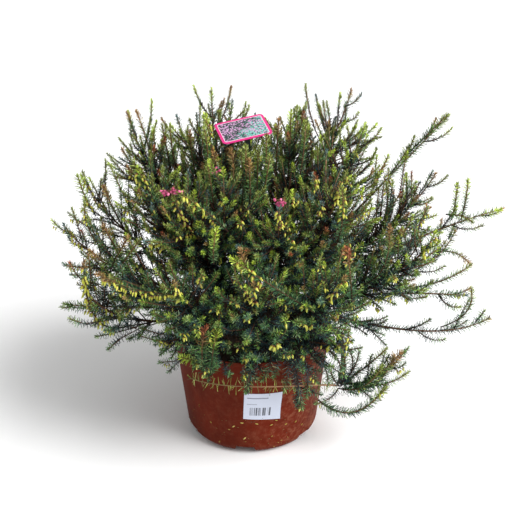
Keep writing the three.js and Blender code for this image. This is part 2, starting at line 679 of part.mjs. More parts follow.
// The short stem of an open flower, which carries on a spray's tip.
function bloomStem(spray) {
  const up = spray.axis.along(1);
  const start = spray.axis.at(1).addScaledVector(up, JOINT_GAP);
  const end = start.clone().addScaledVector(up, BLOOMS[spray.bloom].length);
  return new Stem(new THREE.LineCurve3(start, end), [0, 1]);
}

// An open flower cluster: bells round its stem.
function bloom(spray) {
  const stem = bloomStem(spray);
  const { bells } = BLOOMS[spray.bloom];
  const parts = [rod(stem, 4, (ring) => (ring === 0 ? 1 : 0.8))];
  for (let i = 0; i < bells; i++) {
    const direction = stem.outward(0, GOLDEN_ANGLE * i).addScaledVector(stem.along(0), 0.15 + (0.9 * i) / bells);
    const bell = new THREE.LatheGeometry(outline(BELL), 4);
    parts.push(stood(bell, stem.at(0.3 + (0.68 * i) / bells), direction.normalize(), i));
  }
  return wasm.Manifold.union(parts);
}

// The whole plant's lines first, so that each spray then grows clear of all the others.
function plant() {
  const limbs = {};
  for (const [name, where] of Object.entries(LIMBS)) limbs[name] = { line: limbLine(where), forks: [] };
  const hanging = new THREE.CubicBezierCurve3(...HANGING_LIMB.map(vector));
  limbs.hanging = { line: new Stem(hanging, LIMB_SHARES), forks: [] };

  const sprays = SPRAYS.map((row, i) => {
    const limb = limbs[row.limb];
    const { fork, axis } = layOut(row, limb.line, limb.forks.length);
    limb.forks.push(fork);
    return { buds: 0, lean: false, ...row, name: `spray_${row.limb}_${limb.forks.length}`, axis, seed: i + 1 };
  });
  [ACROSS_POT, OUT_FROM_RIM].forEach((points, i) => {
    const axis = new Stem(new THREE.CubicBezierCurve3(...points.map(vector)), AXIS_SHARES);
    sprays.push({ name: `spray_hanging_${i + 1}`, axis, buds: 0, lean: true, seed: 91 + i, plain: i === 0 });
  });

  for (const spray of sprays) {
    spray.shoots = [];
    const most = Math.round(spray.axis.length / SHOOT_SPACING);
    spray.shootCount = spray.plain ? 0 : Math.min(most, spray.lean ? LEAN_SHOOT_COUNT : SHOOT_COUNT);
    spray.parts = [];
    takeStem(spray.axis, AXIS_RADIUS + AXIS_SPACE, spray.name);
    if (spray.bloom) takeStem(bloomStem(spray), BLOOM_RADIUS, spray.bloom);
  }
  for (const [name, limb] of Object.entries(limbs)) {
    take(limb.line.places.slice(1), LIMB_RADII.slice(1), `limb_${name}`);
    for (const fork of limb.forks) take(fork.places, FORK_RADII, `limb_${name}`);
  }
  const stakeTop = new THREE.Vector3(STAKE_AT.x, STAKE_AT.y, CARD_CENTRE.z);
  take([stakeTop.clone().setZ(SOIL_TOP), stakeTop], [STAKE_WIDTH / 2, STAKE_WIDTH / 2], "label");

  for (const spray of sprays) spray.core = axisRadii(spray);
  for (const spray of sprays) take(spray.axis.places, spray.core, spray.name);
  for (let order = 0; order < SHOOT_COUNT; order++) {
    for (const spray of sprays) if (order < spray.shootCount) growShoot(spray, order);
  }
  return { limbs, sprays };
}

const group = new THREE.Group();
const { limbs, sprays } = plant();
const holes = [stake(HOLE_CLEARANCE)];

for (const [name, { line, forks }] of Object.entries(limbs)) {
  const stem = rod(line, LIMB_SIDES, (ring) => LIMB_RADII[ring]);
  const branches = forks.map((fork) => rod(fork, FORK_SIDES, (ring) => FORK_RADII[ring]));
  group.add(piece(`limb_${name}`, wasm.Manifold.union([stem, ...branches]), "bark"));
  holes.push(rod(line, LIMB_SIDES, (ring) => LIMB_RADII[ring] + HOLE_CLEARANCE));
}
for (const spray of sprays) {
  group.add(piece(spray.name, growSpray(spray), "leaf"));
  if (spray.bloom) group.add(piece(spray.bloom, bloom(spray), "bloom"));
}
group.add(piece("pot", pot(), "pot"));
group.add(piece("soil", soil(holes), "soil"));
group.add(piece("label", label(), "label"));
group.add(piece("sticker", sticker(), "paper"));

export default group;
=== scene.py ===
"""A Darley Dale heath in its nursery pot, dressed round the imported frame.

Run as a Blender 4.5 script. Metres, +Z up, the same frame as the solids.
"""

import math
from contextlib import contextmanager
from dataclasses import dataclass

import bmesh
import bpy
import numpy as np
from mathutils import Matrix, Vector, kdtree


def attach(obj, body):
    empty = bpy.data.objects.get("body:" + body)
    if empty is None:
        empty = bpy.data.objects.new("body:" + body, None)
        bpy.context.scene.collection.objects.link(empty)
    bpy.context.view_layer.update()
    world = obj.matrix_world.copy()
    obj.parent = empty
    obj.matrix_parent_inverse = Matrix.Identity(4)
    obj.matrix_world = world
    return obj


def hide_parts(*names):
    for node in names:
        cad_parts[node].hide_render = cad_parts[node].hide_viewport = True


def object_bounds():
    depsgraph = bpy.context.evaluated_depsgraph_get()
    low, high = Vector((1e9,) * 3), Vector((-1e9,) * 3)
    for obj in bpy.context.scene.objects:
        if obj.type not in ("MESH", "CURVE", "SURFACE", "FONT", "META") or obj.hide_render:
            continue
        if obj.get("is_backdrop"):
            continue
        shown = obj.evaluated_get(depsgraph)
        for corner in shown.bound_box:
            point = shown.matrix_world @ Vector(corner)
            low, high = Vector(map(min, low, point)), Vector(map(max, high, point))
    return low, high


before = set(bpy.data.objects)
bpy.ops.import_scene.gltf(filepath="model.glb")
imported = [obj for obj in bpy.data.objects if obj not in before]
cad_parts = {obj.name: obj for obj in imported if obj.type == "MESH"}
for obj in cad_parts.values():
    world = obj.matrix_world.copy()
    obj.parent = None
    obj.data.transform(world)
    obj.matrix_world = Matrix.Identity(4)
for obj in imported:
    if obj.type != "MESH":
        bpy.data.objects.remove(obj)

bl_info = {
    "name": "Potted Heath",
    "version": (1, 0, 0),
    "blender": (4, 5, 0),
    "location": "View3D > Sidebar > Heath",
    "description": "Builds a potted heath: pot, compost, limbs, sprays, blooms, label and sticker",
    "category": "Add Mesh",
}

MM = 0.001
CAD_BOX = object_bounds()


# Numbers shared with the solids, in millimetres

POT_HEIGHT = 140
RIM_RADIUS = 96
COLLAR_HEIGHT = 26
COLLAR_BOTTOM = POT_HEIGHT - COLLAR_HEIGHT
COLLAR_STEP = 1.8
COLLAR_DRAFT = 1.4
WALL_SLOPE = 0.119
WALL_THICKNESS = 1.6
FOOT_FILLET = 16
SLOT_COUNT = 6
SLOT_FIRST_AZIMUTH = -96
SLOT_WIDTH = 28
SLOT_TOP_WIDTH = 22
SLOT_HEIGHT = 12
SLOT_INNER_RADIUS = 57
SOIL_TOP = 124
SOIL_GAP = 0.8
ROOTED_DEPTH = 44
CARD_WIDTH = 58
CARD_HEIGHT = 42
CARD_CORNER = 5
CARD_CENTRE = Vector((-9, -4, 393))
CARD_RIGHT = Vector((55.2, 15.9, 7.3)).normalized()
CARD_DOWN = Vector((11.9, -39.6, -8.9)).normalized()
STAKE_FOOT = 66
STICKER_WIDTH = 45
STICKER_HEIGHT = 39
STICKER_AZIMUTH = -81.5
STICKER_MIDDLE = 75
STICKER_LEAN = -3

CROWN = np.array((0, 0, 150.0))
UP = np.array((0, 0, 1))
FORK_REACH = 20
FORK_FIRST = 0.97
FORK_STEP = 0.05
JOINT_GAP = 0.4
LIMB_SHARES = (0, 0.45, 0.75, 1)
LIMB_BEND = 10
AXIS_SIDES = 4
AXIS_SHARES = (0, 0.14, 0.28, 0.42, 0.57, 0.75, 1)
SHOOT_SHARES = (0, 0.6, 1)
SHOOT_COUNT = 6
LEAN_SHOOT_COUNT = 5
SHOOT_SPACING = 26
SHOOT_LENGTH = 84
LEAN_SHOOT_LENGTH = 42
SHOOT_START = 0.22
LEAN_SHOOT_START = 0.42
SHOOT_END = 0.95
SHOOT_SLANT = 42
SLANT_SPREAD = 18
SHOOT_SWING = 30
SHOOT_TRIES = 14
TRY_EASE = 0.03
TIP_MATCH = 0.2
HANGING_SEED = 91

# The woody limbs: bearing, distance out at the foot and at the top, and the top's height
LIMBS = {
    "top_back": (80, 26, 28, 172),
    "top_left": (180, 28, 34, 170),
    "top_front": (-38, 32, 36, 168),
    "right": (2, 48, 58, 156),
    "back_right": (52, 50, 60, 154),
    "back_left": (110, 50, 60, 154),
    "left": (176, 50, 60, 154),
    "front_left": (-126, 48, 56, 152),
    "front_right": (-76, 48, 56, 152),
}

# The sprays of each limb: bearing, height angle and reach from the crown, rise, turn, and True if lean
SPRAYS = {
    "top_back": [(27, 64, 296, 8, 12), (66, 60, 256, 0, 12), (103, 61, 258, 0, 12), (142, 64, 256, 8, 10)],
    "top_left": [
        (137, 77, 280, 4, 4), (162, 58, 286, 4, 14), (-160, 58, 252, 0, 10), (-128, 57, 246, 8, 6),
        (-106, 66, 258, 9, 8),
    ],
    "top_front": [(-76, 58, 238, 8, 6), (34, 76, 262, 0, 4), (-36, 60, 256, 0, 10), (4, 62, 276, 4, 10)],
    "right": [
        (2, 25, 322, 12, -14, True), (-19, 34, 262, 0, 34), (18, 33.5, 280, 10, 18),
        (-17, 15, 264, 16, -10, True), (0, -1, 288, -4, 34, True), (14, 18, 270, -2, 50, True),
    ],
    "back_right": [(30, 36, 346, 4, 0, True), (60, 37, 254, 4, 16), (46, 12, 220, 6, 24)],
    "back_left": [(92, 38, 254, 4, 16), (126, 37, 256, 4, 16), (82, 11, 216, 6, 22), (122, 11, 216, 6, 24)],
    "left": [
        (161, 35, 266, 6, 20), (-175, 31, 254, 4, 26), (161, 9, 222, 6, 20), (-176, 6, 224, 8, 4, True),
        (-156, 27, 228, -28, 70),
    ],
    "front_left": [
        (-142, 31, 226, 10, -6), (-116, 36, 228, 4, 18), (-131, 13, 168, 10, 14), (-106, 22, 178, 8, 22),
        (-118, 0, 138, 14, -14),
    ],
    "front_right": [
        (-62, -28, 129, 64, -50, True), (-89, 38, 226, 4, 14), (-58, 36, 234, 4, 18), (-80, 20, 170, 8, 22),
        (-50, 14, 180, 8, 20), (-94, -4, 132, 18, -24),
    ],
}
HANGING_LIMB = [(58, -34, 80), (62, -36, 190), (124, -58, 184), (104.5, -61, 91)]
ACROSS_POT = [(103.7, -62.6, 88.4), (81, -128, 136), (-20, -135, 123), (-72, -86, 114)]
OUT_FROM_RIM = [(107.6, -61, 93.6), (128, -64, 84), (160, -62, 100), (180, -60, 134)]


# What the photograph shows and only the looks have

# Open flowers: the spray that bears them, the stalk's length, the spread and the number of bells
BLOOMS = {"left": ("top_left_4", 12, 9, 22), "middle": ("top_front_1", 11, 4, 13)}
# Root and tip of a third, tiny cluster, its spread and its bells
SMALL_BLOOM = ((-37, -66, 364), (-39, -79, 377), 2.2, 5)

# Sprays whose axis bears a close band of flower buds, and how many
BUD_BANDS = {
    "left_1": 12, "left_2": 16, "left_5": 26, "top_left_3": 12, "top_left_4": 22, "front_left_1": 24,
    "front_left_2": 12, "front_left_3": 10, "front_left_4": 8, "front_left_5": 8, "top_front_1": 10,
    "top_front_3": 14, "front_right_2": 12, "front_right_3": 18, "front_right_4": 10, "front_right_5": 14,
    "front_right_6": 8, "right_2": 10, "back_right_3": 10, "back_left_4": 10,
}

# Shoots that stand out singly, by spray: three points of their curve, then tone, needle size and buds
SINGLE_SHOOTS = {
    "top_left_1": [
        ((-43, -24, 356), (-45, -16, 386), (-51, -8, 410), "fresh", 0.9, 14),
        ((-48, -40, 358), (-47, -40, 381), (-51, -40, 408), "olive", 0.7, 0),
        ((-35, -60, 357), (-38, -62, 375), (-41, -64, 392), "bronze", 0.7, 0),
        ((-41, -70, 329), (-43, -72, 353), (-47, -74, 381), "olive", 0.7, 0),
        ((-64, 10, 327), (-69, 10, 356), (-70, 10, 384), "bronze", 0.7, 0),
    ],
    "top_left_2": [
        ((-112, 30, 331), (-123, 35, 368), (-132, 36, 399), "bronze", 0.7, 0),
        ((-94, 20, 335), (-99, 20, 363), (-102, 20, 388), "olive", 0.75, 0),
        ((-88, 20, 337), (-93, 20, 362), (-93, 20, 388), "fresh", 0.75, 0),
    ],
    "left_1": [
        ((-136, -20, 296), (-151, -10, 323), (-161, 0, 345), "olive", 0.95, 0),
        ((-105, -50, 319), (-121, -45, 348), (-130, -40, 368), "olive", 0.9, 0),
        ((-149, -20, 279), (-161, -15, 303), (-169, -10, 324), "bronze", 0.8, 0),
        ((-189, 50, 259), (-201, 52, 280), (-208, 54, 309), "fresh", 1, 0),
    ],
    "left_3": [
        ((-151, -60, 269), (-160, -62, 285), (-164, -64, 301), "bronze", 0.9, 0),
        ((-155, -70, 252), (-170, -75, 262), (-179, -80, 277), "bronze", 0.85, 0),
    ],
    "front_left_1": [
        ((-150, -95, 256), (-137, -100, 280), (-122, -98, 300), "olive", 0.9, 0),
        ((-157, -92, 260), (-145, -96, 285), (-135, -95, 301), "bronze", 0.9, 0),
        ((-60, -120, 247), (-115, -137, 246), (-166, -126, 273), "bronze", 0.75, 36),
    ],
    "top_left_4": [((-24, -118, 320), (-53, -117, 351), (-76, -112, 363), "olive", 0.75, 15)],
    "top_left_5": [
        ((-10, -62, 326), (-7, -68, 362), (-11, -66, 391), "olive", 0.75, 0),
        ((-20, -50, 326), (-16, -58, 368), (-22, -58, 390), "bronze", 0.8, 0),
        ((-4, -70, 345), (-6, -76, 378), (-5, -74, 400), "olive", 0.8, 0),
        ((-30, -60, 326), (-32, -65, 350), (-37, -66, 364), "olive", 0.8, 0),
    ],
    "top_front_2": [
        ((17, -20, 330), (17, -25, 370), (17, -26, 393), "olive", 0.8, 0),
        ((28, 10, 322), (29, 8, 364), (31, 6, 400), "bronze", 0.8, 0),
        ((42, 16, 321), (45, 16, 365), (45, 16, 406), "fresh", 0.8, 0),
        ((53, -10, 325), (60, -12, 361), (61, -14, 405), "olive", 0.8, 0),
    ],
    "top_front_1": [
        ((12, -66, 326), (17, -71, 361), (21, -72, 389), "olive", 0.8, 0),
        ((6, -60, 321), (7, -65, 356), (8, -66, 393), "olive", 0.75, 3),
        ((-1, -72, 322), (0, -77, 356), (-2, -78, 386), "bronze", 0.75, 0),
    ],
    "top_front_3": [((94, -108, 303), (102, -122, 340), (96, -120, 372), "olive", 0.75, 10)],
    "back_right_1": [
        ((181, 118, 300), (208, 128, 323), (240, 138, 354), "olive", 1.0, 0),
        ((168, 100, 290), (184, 104, 308), (192, 108, 326), "olive", 0.85, 0),
        ((148, 90, 275), (159, 92, 300), (166, 94, 319), "fresh", 0.75, 0),
    ],
    "front_right_2": [
        ((68, -150, 239), (21, -175, 285), (-19, -172, 315), "fresh", 0.9, 12),
        ((-39, -150, 298), (-40, -158, 320), (-35, -158, 342), "fresh", 0.85, 0),
        ((3, -166, 285), (-6, -169, 305), (-10, -168, 323), "bronze", 0.85, 0),
    ],
    "front_right_3": [((110, -140, 246), (106, -154, 288), (102, -152, 316), "rust", 0.9, 4)],
    "right_2": [((126, -70, 229), (158, -90, 251), (152, -86, 311), "bronze", 0.75, 0)],
    "front_left_5": [
        ((-52, -124, 144), (-57, -163, 197), (-49, -150, 218), "rust", 1.1, 0),
        ((-44, -124, 144), (-44, -166, 199), (-35, -152, 218), "fresh", 1.1, 0),
        ((-58, -112, 152), (-70, -128, 165), (-79, -136, 174), "fresh", 0.9, 0),
    ],
    "hanging_2": [
        ((117, -66, 89), (152, -81, 112), (172, -84, 146), "bronze", 1.2, 0),
        ((103, -66, 87), (134, -81, 86), (151, -84, 127), "olive", 1.1, 0),
        ((78, -96, 90), (119, -92, 45), (158, -80, 96), "olive", 1.0, 0),
        ((108, -66, 87), (153, -74, 82), (166, -74, 136), "bronze", 0.85, 0),
        ((106, -58, 86), (140, -56, 113), (159, -54, 134), "olive", 0.75, 0),
        ((120, -60, 86), (163, -60, 82), (186, -60, 106), "olive", 0.75, 0),
        ((106, -58, 84), (129, -53, 108), (115, -52, 132), "deep", 0.75, 0),
        ((84, -70, 70), (128, -78, 34), (158, -78, 101), "deep", 0.85, 5),
        ((103, -66, 87), (97, -73, 75), (76, -84, 77), "deep", 0.7, 3),
        ((106, -66, 90), (112, -76, 112), (108, -80, 140), "deep", 0.85, 0),
        ((104, -68, 92), (96, -80, 106), (92, -86, 124), "deep", 0.85, 0),
        ((106, -66, 95), (122, -72, 112), (126, -68, 138), "deep", 0.8, 0),
    ],
    "front_right_1": [
        ((33, -108, 163), (48, -122, 155), (38, -112, 114), "deep", 0.85, 0),
        ((46, -104, 161), (69, -119, 152), (64, -106, 102), "deep", 0.85, 0),
        ((51, -106, 151), (52, -119, 127), (59, -104, 84), "deep", 0.85, 2),
        ((63, -98, 157), (86, -110, 159), (89, -98, 114), "deep", 0.85, 0),
        ((21, -112, 165), (26, -128, 157), (12, -120, 133), "deep", 0.85, 0),
    ],
    "front_right_6": [((12, -118, 172), (-1, -129, 159), (-6, -120, 117), "deep", 0.85, 0)],
    "front_right_5": [((81, -90, 157), (102, -95, 158), (105, -88, 118), "deep", 0.85, 2)],
    "right_6": [((218, 62, 201), (250, 60, 215), (270, 58, 189), "bronze", 0.8, 0)],
    "right_4": [((184, -60, 220), (225, -58, 225), (250, -56, 247), "olive", 0.75, 0)],
    "right_5": [((229, -4, 135), (272, -6, 151), (262, -8, 191), "olive", 0.75, 0)],
    "right_1": [
        ((235, 8, 274), (239, 6, 299), (238, 4, 322), "fresh", 0.7, 0),
        ((246, 8, 274), (251, 6, 302), (250, 4, 327), "fresh", 0.7, 0),
        ((227, 4, 283), (249, 0, 285), (257, -4, 277), "olive", 0.8, 0),
    ],
    "left_5": [((-139, -80, 182), (-192, -84, 162), (-187, -80, 264), "bronze", 0.75, 30)],
    "left_2": [((-155, -30, 238), (-193, -35, 271), (-189, -36, 315), "olive", 0.75, 6)],
}

# Towards the photograph's viewer
TO_VIEWER = np.array((0, -0.888, 0.46))

# Bits stuck to the pot where the photograph shows them: azimuth and height, the largest first
STUCK_BITS = (
    (-96, 26), (-105, 43), (-98, 50), (-86, 49), (-74, 45), (-70, 51), (-61, 41), (-51, 39),
    (-43, 29), (-109, 37), (-126, 40), (-119, 14), (-73, 27), (-64, 17), (-58, 19), (-67, 15),
)


# What a user would change


def length(name, description, default):
    """A length whose default is given in millimetres."""
    return bpy.props.FloatProperty(
        name=name, description=description, default=default * MM, min=0, unit="LENGTH", precision=4
    )


def number(name, description, default, unit="NONE"):
    return bpy.props.FloatProperty(name=name, description=description, default=default, unit=unit)


def colour(name, part, default):
    limits = {"size": 3, "subtype": "COLOR", "min": 0, "max": 1}
    shown = {"name": name, "description": f"Colour of {part}", "default": linear(default)}
    return bpy.props.FloatVectorProperty(**shown, **limits)


def linear(hex_colour):
    """A colour written as on the web, as the three linear numbers that Blender works in."""
    parts = [int(hex_colour[i : i + 2], 16) / 255 for i in (1, 3, 5)]
    return tuple(p / 12.92 if p <= 0.04045 else ((p + 0.055) / 1.055) ** 2.4 for p in parts)


class HeathPot(bpy.types.PropertyGroup):
    plastic: colour("Plastic", "the pot's plastic", "#641f0d")
    soil: colour("Compost", "the damp compost", "#20150e")
    sides: bpy.props.IntProperty(name="Sides", description="Sides of the round wall", default=96, min=24)


class HeathPlant(bpy.types.PropertyGroup):
    needle_length: length("Needle length", "Length of a full grown needle", 8.2)
    needle_width: length("Needle width", "Width of a full grown needle", 1.15)
    whorl_spacing: length("Whorl spacing", "Distance from one ring of needles to the next", 2.6)
    bud_length: length("Bud length", "Length of a closed flower bud", 5.4)
    # Near black: painted shade of the bush's inside more than the old needles' own colour
    old_leaf: colour("Old needles", "the oldest needles", "#060a08")
    low_leaf: colour("Low needles", "the needles low down, out of the light", "#2a3f44")
    leaf: colour("Needles", "the full grown needles", "#476b31")
    olive_tip: colour("Olive tips", "most shoots' tips", "#74803a")
    bronze_tip: colour("Bronze tips", "the bronzed shoots' tips", "#86643c")
    fresh_tip: colour("Fresh tips", "the freshest shoots' tips", "#98ac38")
    rust_tip: colour("Rust tips", "the few reddest tips", "#8e4a32")
    deep_tip: colour("Deep tips", "the tips low down, out of the light", "#4a6264")
    bark: colour("Bark", "the woody limbs", "#5d4030")
    bud: colour("Buds", "the closed flower buds", "#d3d150")
    bell: colour("Bells", "the open flowers", "#b8446f")


class HeathCard(bpy.types.PropertyGroup):
    border: colour("Border", "the label's border", "#d9267f")
    ground: colour("Ground", "the ground behind the sprigs on the label", "#15302f")
    sprig: colour("Sprigs", "the sprigs on the label", "#cf96c8")
    paper: colour("Paper", "the sticker", "#c2c8d8")
    curl: length("Curl", "How far the sticker's loose corner stands off the pot", 2.2)


class HeathStudio(bpy.types.PropertyGroup):
    floor: colour("Floor", "the floor", "#f7f7f7")
    sky: number("Sky", "Strength of the light from all round", 0.6)
    key: number("Key", "Strength of the key light", 3.4)
    fill: number("Fill", "Power of the fill light", 10, "POWER")
    lens: number("Lens", "Focal length", 89.3, "CAMERA")


# Geometry in plain numbers

STRAIGHT = 0.05
UPRIGHT = 0.9
CURVE_POINTS = 25


def draws(seed):
    """Repeatable draws from 0 to 1, by the mulberry32 rule, as the solids are drawn."""
    word = 0xFFFFFFFF
    state = seed & word

    def draw():
        nonlocal state
        state = (state + 0x6D2B79F5) & word
        mixed = ((state ^ (state >> 15)) * (state | 1)) & word
        mixed ^= (mixed + ((mixed ^ (mixed >> 7)) * (mixed | 61) & word)) & word
        return ((mixed ^ (mixed >> 14)) & word) / 4294967296

    return draw


def lerp(low, high, share):
    return low + (high - low) * share


def ease(low, high, share):
    """From low to high as the share goes from 0 to 1, and level beyond."""
    return lerp(low, high, np.clip(share, 0, 1))


def unit(vector):
    return vector / np.linalg.norm(vector, axis=-1, keepdims=True)


def heading(azimuth, elevation):
    azimuth, elevation = math.radians(azimuth), math.radians(elevation)
    flat = math.cos(elevation)
    return np.array((flat * math.cos(azimuth), flat * math.sin(azimuth), math.sin(elevation)))


def flat_headings(azimuths):
    turns = np.radians(azimuths)
    return np.stack((np.cos(turns), np.sin(turns)), axis=1)


def raised(direction, degrees):
    """The same direction, raised by some degrees in its own vertical plane."""
    azimuth = math.degrees(math.atan2(direction[1], direction[0]))
    return heading(azimuth, math.degrees(math.asin(direction[2])) + degrees)


def flat_side(sides, order):
    return (order + 0.5) * 360 / sides - 90


class Stem:
    """A smooth stem along a Bezier curve, in millimetres."""

    def __init__(self, points, shares=(0, 1)):
        self.points = np.array(points, float)
        self.shares = shares
        start, end = self.along(0.0), self.along(1.0)
        across = np.cross(start, end)
        if np.linalg.norm(across) <= STRAIGHT:
            across = np.cross(start, UP if abs(start[2]) < UPRIGHT else (1, 0, 0))
        self.across = unit(across)
        path = self.on_curve(np.linspace(0, 1, CURVE_POINTS))
        self.run = np.append(0, np.cumsum(np.linalg.norm(np.diff(path, axis=0), axis=1)))
        self.length = self.run[-1]

    def on_curve(self, share):
        """Points of the curve at shares of its parameter."""
        return self.blend(self.points, share)

    def along(self, share):
        """Directions of the curve at shares of its parameter."""
        return unit(self.blend(np.diff(self.points, axis=0), share))

    def blend(self, points, share):
        level = list(points)
        share = np.asarray(share, float)[..., None]
        while len(level) > 1:
            level = [lerp(low, high, share) for low, high in zip(level, level[1:])]
        return level[0] + 0 * share

    def at(self, share):
        """The point at a share of the stem as the solids have it, with straight lengths between its rings."""
        after = next((i for i, each in enumerate(self.shares) if each > share), 0)
        i = len(self.shares) - 2 if after < 1 else after - 1
        low, high = self.shares[i], self.shares[i + 1]
        return lerp(self.on_curve(low), self.on_curve(high), (share - low) / (high - low))

    def share_at(self, distance):
        """The curve's share at a distance from its start."""
        return np.interp(distance, self.run, np.linspace(0, 1, len(self.run)))

    def outward(self, share, around):
        """Directions out of the stem at shares of it and angles round it, in degrees."""
        along = self.along(share)
        normal = unit(self.across - (along @ self.across)[..., None] * along)
        binormal = np.cross(along, normal)
        around = np.radians(np.asarray(around, float))[..., None]
        return normal * np.cos(around) + binormal * np.sin(around)


def limb_line(azimuth, foot, top, height):
    low, high = heading(azimuth, 0) * foot, heading(azimuth, 0) * top
    middle = (low + high) / 2
    foot_points = [(*low[:2], SOIL_TOP - ROOTED_DEPTH), (*low[:2], SOIL_TOP + LIMB_BEND)]
    top_points = [(*middle[:2], height - LIMB_BEND), (*high[:2], height)]
    return Stem([*foot_points, *top_points], LIMB_SHARES)


@dataclass
class Spray:
    """A leafy spray along its axis. A lean one has fewer and shorter shoots, a plain one none."""

    name: str
    axis: Stem
    seed: int
    lean: bool
    plain: bool = False

    def __post_init__(self):
        most = round(np.linalg.norm(self.axis.points[-1] - self.axis.points[0]) / SHOOT_SPACING)
        self.shoot_count = 0 if self.plain else min(most, LEAN_SHOOT_COUNT if self.lean else SHOOT_COUNT)
        self.fine = []


def lay_out(row, limb, order):
    """A spray's fork and axis."""
    azimuth, elevation, reach, rise, turn = row[:5]
    root = limb.at(FORK_FIRST - FORK_STEP * order)
    tip = CROWN + heading(azimuth, elevation) * reach
    to_tip = unit(tip - root)
    start, end = raised(to_tip, rise), raised(to_tip, turn)
    base = root + start * FORK_REACH
    third = np.linalg.norm(tip - base) / 3
    axis = [base + start * JOINT_GAP, base + start * third, tip - end * third, tip]
    return Stem([root, base]), Stem(axis, AXIS_SHARES)


def shoot_line(spray, order, attempt):
    """One of the spray's main side shoots, drawn as in the solids."""
    draw = draws(spray.seed * 1000 + order * 20 + attempt)
    axis, lean = spray.axis, spray.lean
    first = LEAN_SHOOT_START if lean else SHOOT_START
    share = lerp(first, SHOOT_END, (order + draw()) / spray.shoot_count)
    along = axis.along(share)
    out = axis.outward(share, flat_side(AXIS_SIDES, order + attempt) + SHOOT_SWING * (draw() - 0.5))
    slant = math.radians(SHOOT_SLANT + SLANT_SPREAD * draw())
    leave = along * math.cos(slant) + out * math.sin(slant)
    finish = leave * 0.4 + along * 0.3 + 0.5 * UP
    chord = np.linalg.norm(axis.points[-1] - axis.points[0])
    longest = (1 - share) * chord + 6 + 8 * draw()
    usual = LEAN_SHOOT_LENGTH if lean else SHOOT_LENGTH
    reach = min(longest, usual) * (1 - TRY_EASE * attempt)
    root = axis.at(share)
    bend = root + leave * reach * 0.5
    return Stem([root, bend, bend + unit(finish) * reach * 0.5], SHOOT_SHARES)


def solid_shoots(spray):
    """The main side shoots that the spray's solid has: those whose tips are among its corners."""
    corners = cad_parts[f"spray_{spray.name}"].data.vertices
    tree = kdtree.KDTree(len(corners))
    for i, corner in enumerate(corners):
        tree.insert(corner.co, i)
    tree.balance()
    shoots = []
    for order in range(spray.shoot_count):
        for attempt in range(SHOOT_TRIES):
            shoot = shoot_line(spray, order, attempt)
            if tree.find(Vector(shoot.points[-1] * MM))[2] < TIP_MATCH * MM:
                shoots.append(shoot)
                break
    return shoots


def plant_lines():
    """The limbs with their forks, and the sprays, laid out as in the solids."""
    limbs, sprays = {}, []
    for name, rows in SPRAYS.items():
        limb = limb_line(*LIMBS[name])
        forks, axes = zip(*[lay_out(row, limb, order) for order, row in enumerate(rows)])
        limbs[name] = (limb, forks)
        for order, (row, axis) in enumerate(zip(rows, axes), 1):
            sprays.append(Spray(f"{name}_{order}", axis, len(sprays) + 1, row[-1] is True))
    limbs["hanging"] = (Stem(HANGING_LIMB, LIMB_SHARES), ())
    sprays.append(Spray("hanging_1", Stem(ACROSS_POT, AXIS_SHARES), HANGING_SEED, True, True))
    sprays.append(Spray("hanging_2", Stem(OUT_FROM_RIM, AXIS_SHARES), HANGING_SEED + 1, True))
    return limbs, sprays


LIMB_LINES, SPRAY_LINES = plant_lines()


# Shader maths


class Paint:
    """A socket of a material's nodes. Sums on it add Math nodes, with this socket as the first term."""

    def __init__(self, tree, socket=None):
        self.tree = tree
        self.socket = socket

    def node(self, kind, settings=None, inputs=None, output=0):
        """Adds a node, makes its settings, then sets or links its inputs. Returns one of its outputs."""
        made = self.tree.nodes.new(kind)
        for name, value in (settings or {}).items():
            if name == "stops":
                set_stops(made.color_ramp, value)
            else:
                setattr(made, name, value)
        for key, value in (inputs or {}).items():
            if isinstance(value, Paint):
                self.tree.links.new(value.socket, made.inputs[key])
            else:
                made.inputs[key].default_value = value
        return Paint(self.tree, made.outputs[output])

    def math(self, operation, *others):
        return self.node("ShaderNodeMath", {"operation": operation}, dict(enumerate((self, *others))))

    def __add__(self, other):
        return self.math("ADD", other)

    __radd__ = __add__

    def __sub__(self, other):
        return self.math("SUBTRACT", other)

    def __rsub__(self, other):
        return self.node("ShaderNodeMath", {"operation": "SUBTRACT"}, {0: other, 1: self})

    def __mul__(self, other):
        return self.math("MULTIPLY", other)

    __rmul__ = __mul__

    def __lt__(self, other):
        return self.math("LESS_THAN", other)

    def __gt__(self, other):
        return self.math("GREATER_THAN", other)

    def between(self, low, high):
        """From 0 at low to 1 at high, smoothly."""
        settings = {"interpolation_type": "SMOOTHSTEP"}
        return self.node("ShaderNodeMapRange", settings, {"Value": self, "From Min": low, "From Max": high})

    def mix(self, low, high):
        """This mask between two colours."""
        low, high = (each if isinstance(each, Paint) else opaque(each) for each in (low, high))
        return self.node("ShaderNodeMix", {"data_type": "RGBA"}, {0: self, 6: low, 7: high}, 2)

    def ramp(self, *stops, interpolation="LINEAR"):
        return self.node("ShaderNodeValToRGB", {"stops": (interpolation, stops)}, {0: self})

    def brighter(self, by):
        """This colour times a number."""
        return self.node("ShaderNodeVectorMath", {"operation": "SCALE"}, {0: self, "Scale": by})


def set_stops(ramp, value):
    ramp.interpolation, stops = value
    for place, _ in stops[2:]:
        ramp.elements.new(place)
    for element, (place, stop_colour) in zip(sorted(ramp.elements, key=lambda e: e.position), sorted(stops)):
        element.position = place
        element.color = opaque(stop_colour)


def opaque(rgb):
    if isinstance(rgb, str):
        rgb = linear(rgb)
    return (*rgb[:3], 1)


def scaled(rgb, by, more=0):
    """A colour's three numbers times a factor, and a little more of each."""
    return tuple(min(each * by + more, 1) for each in rgb)


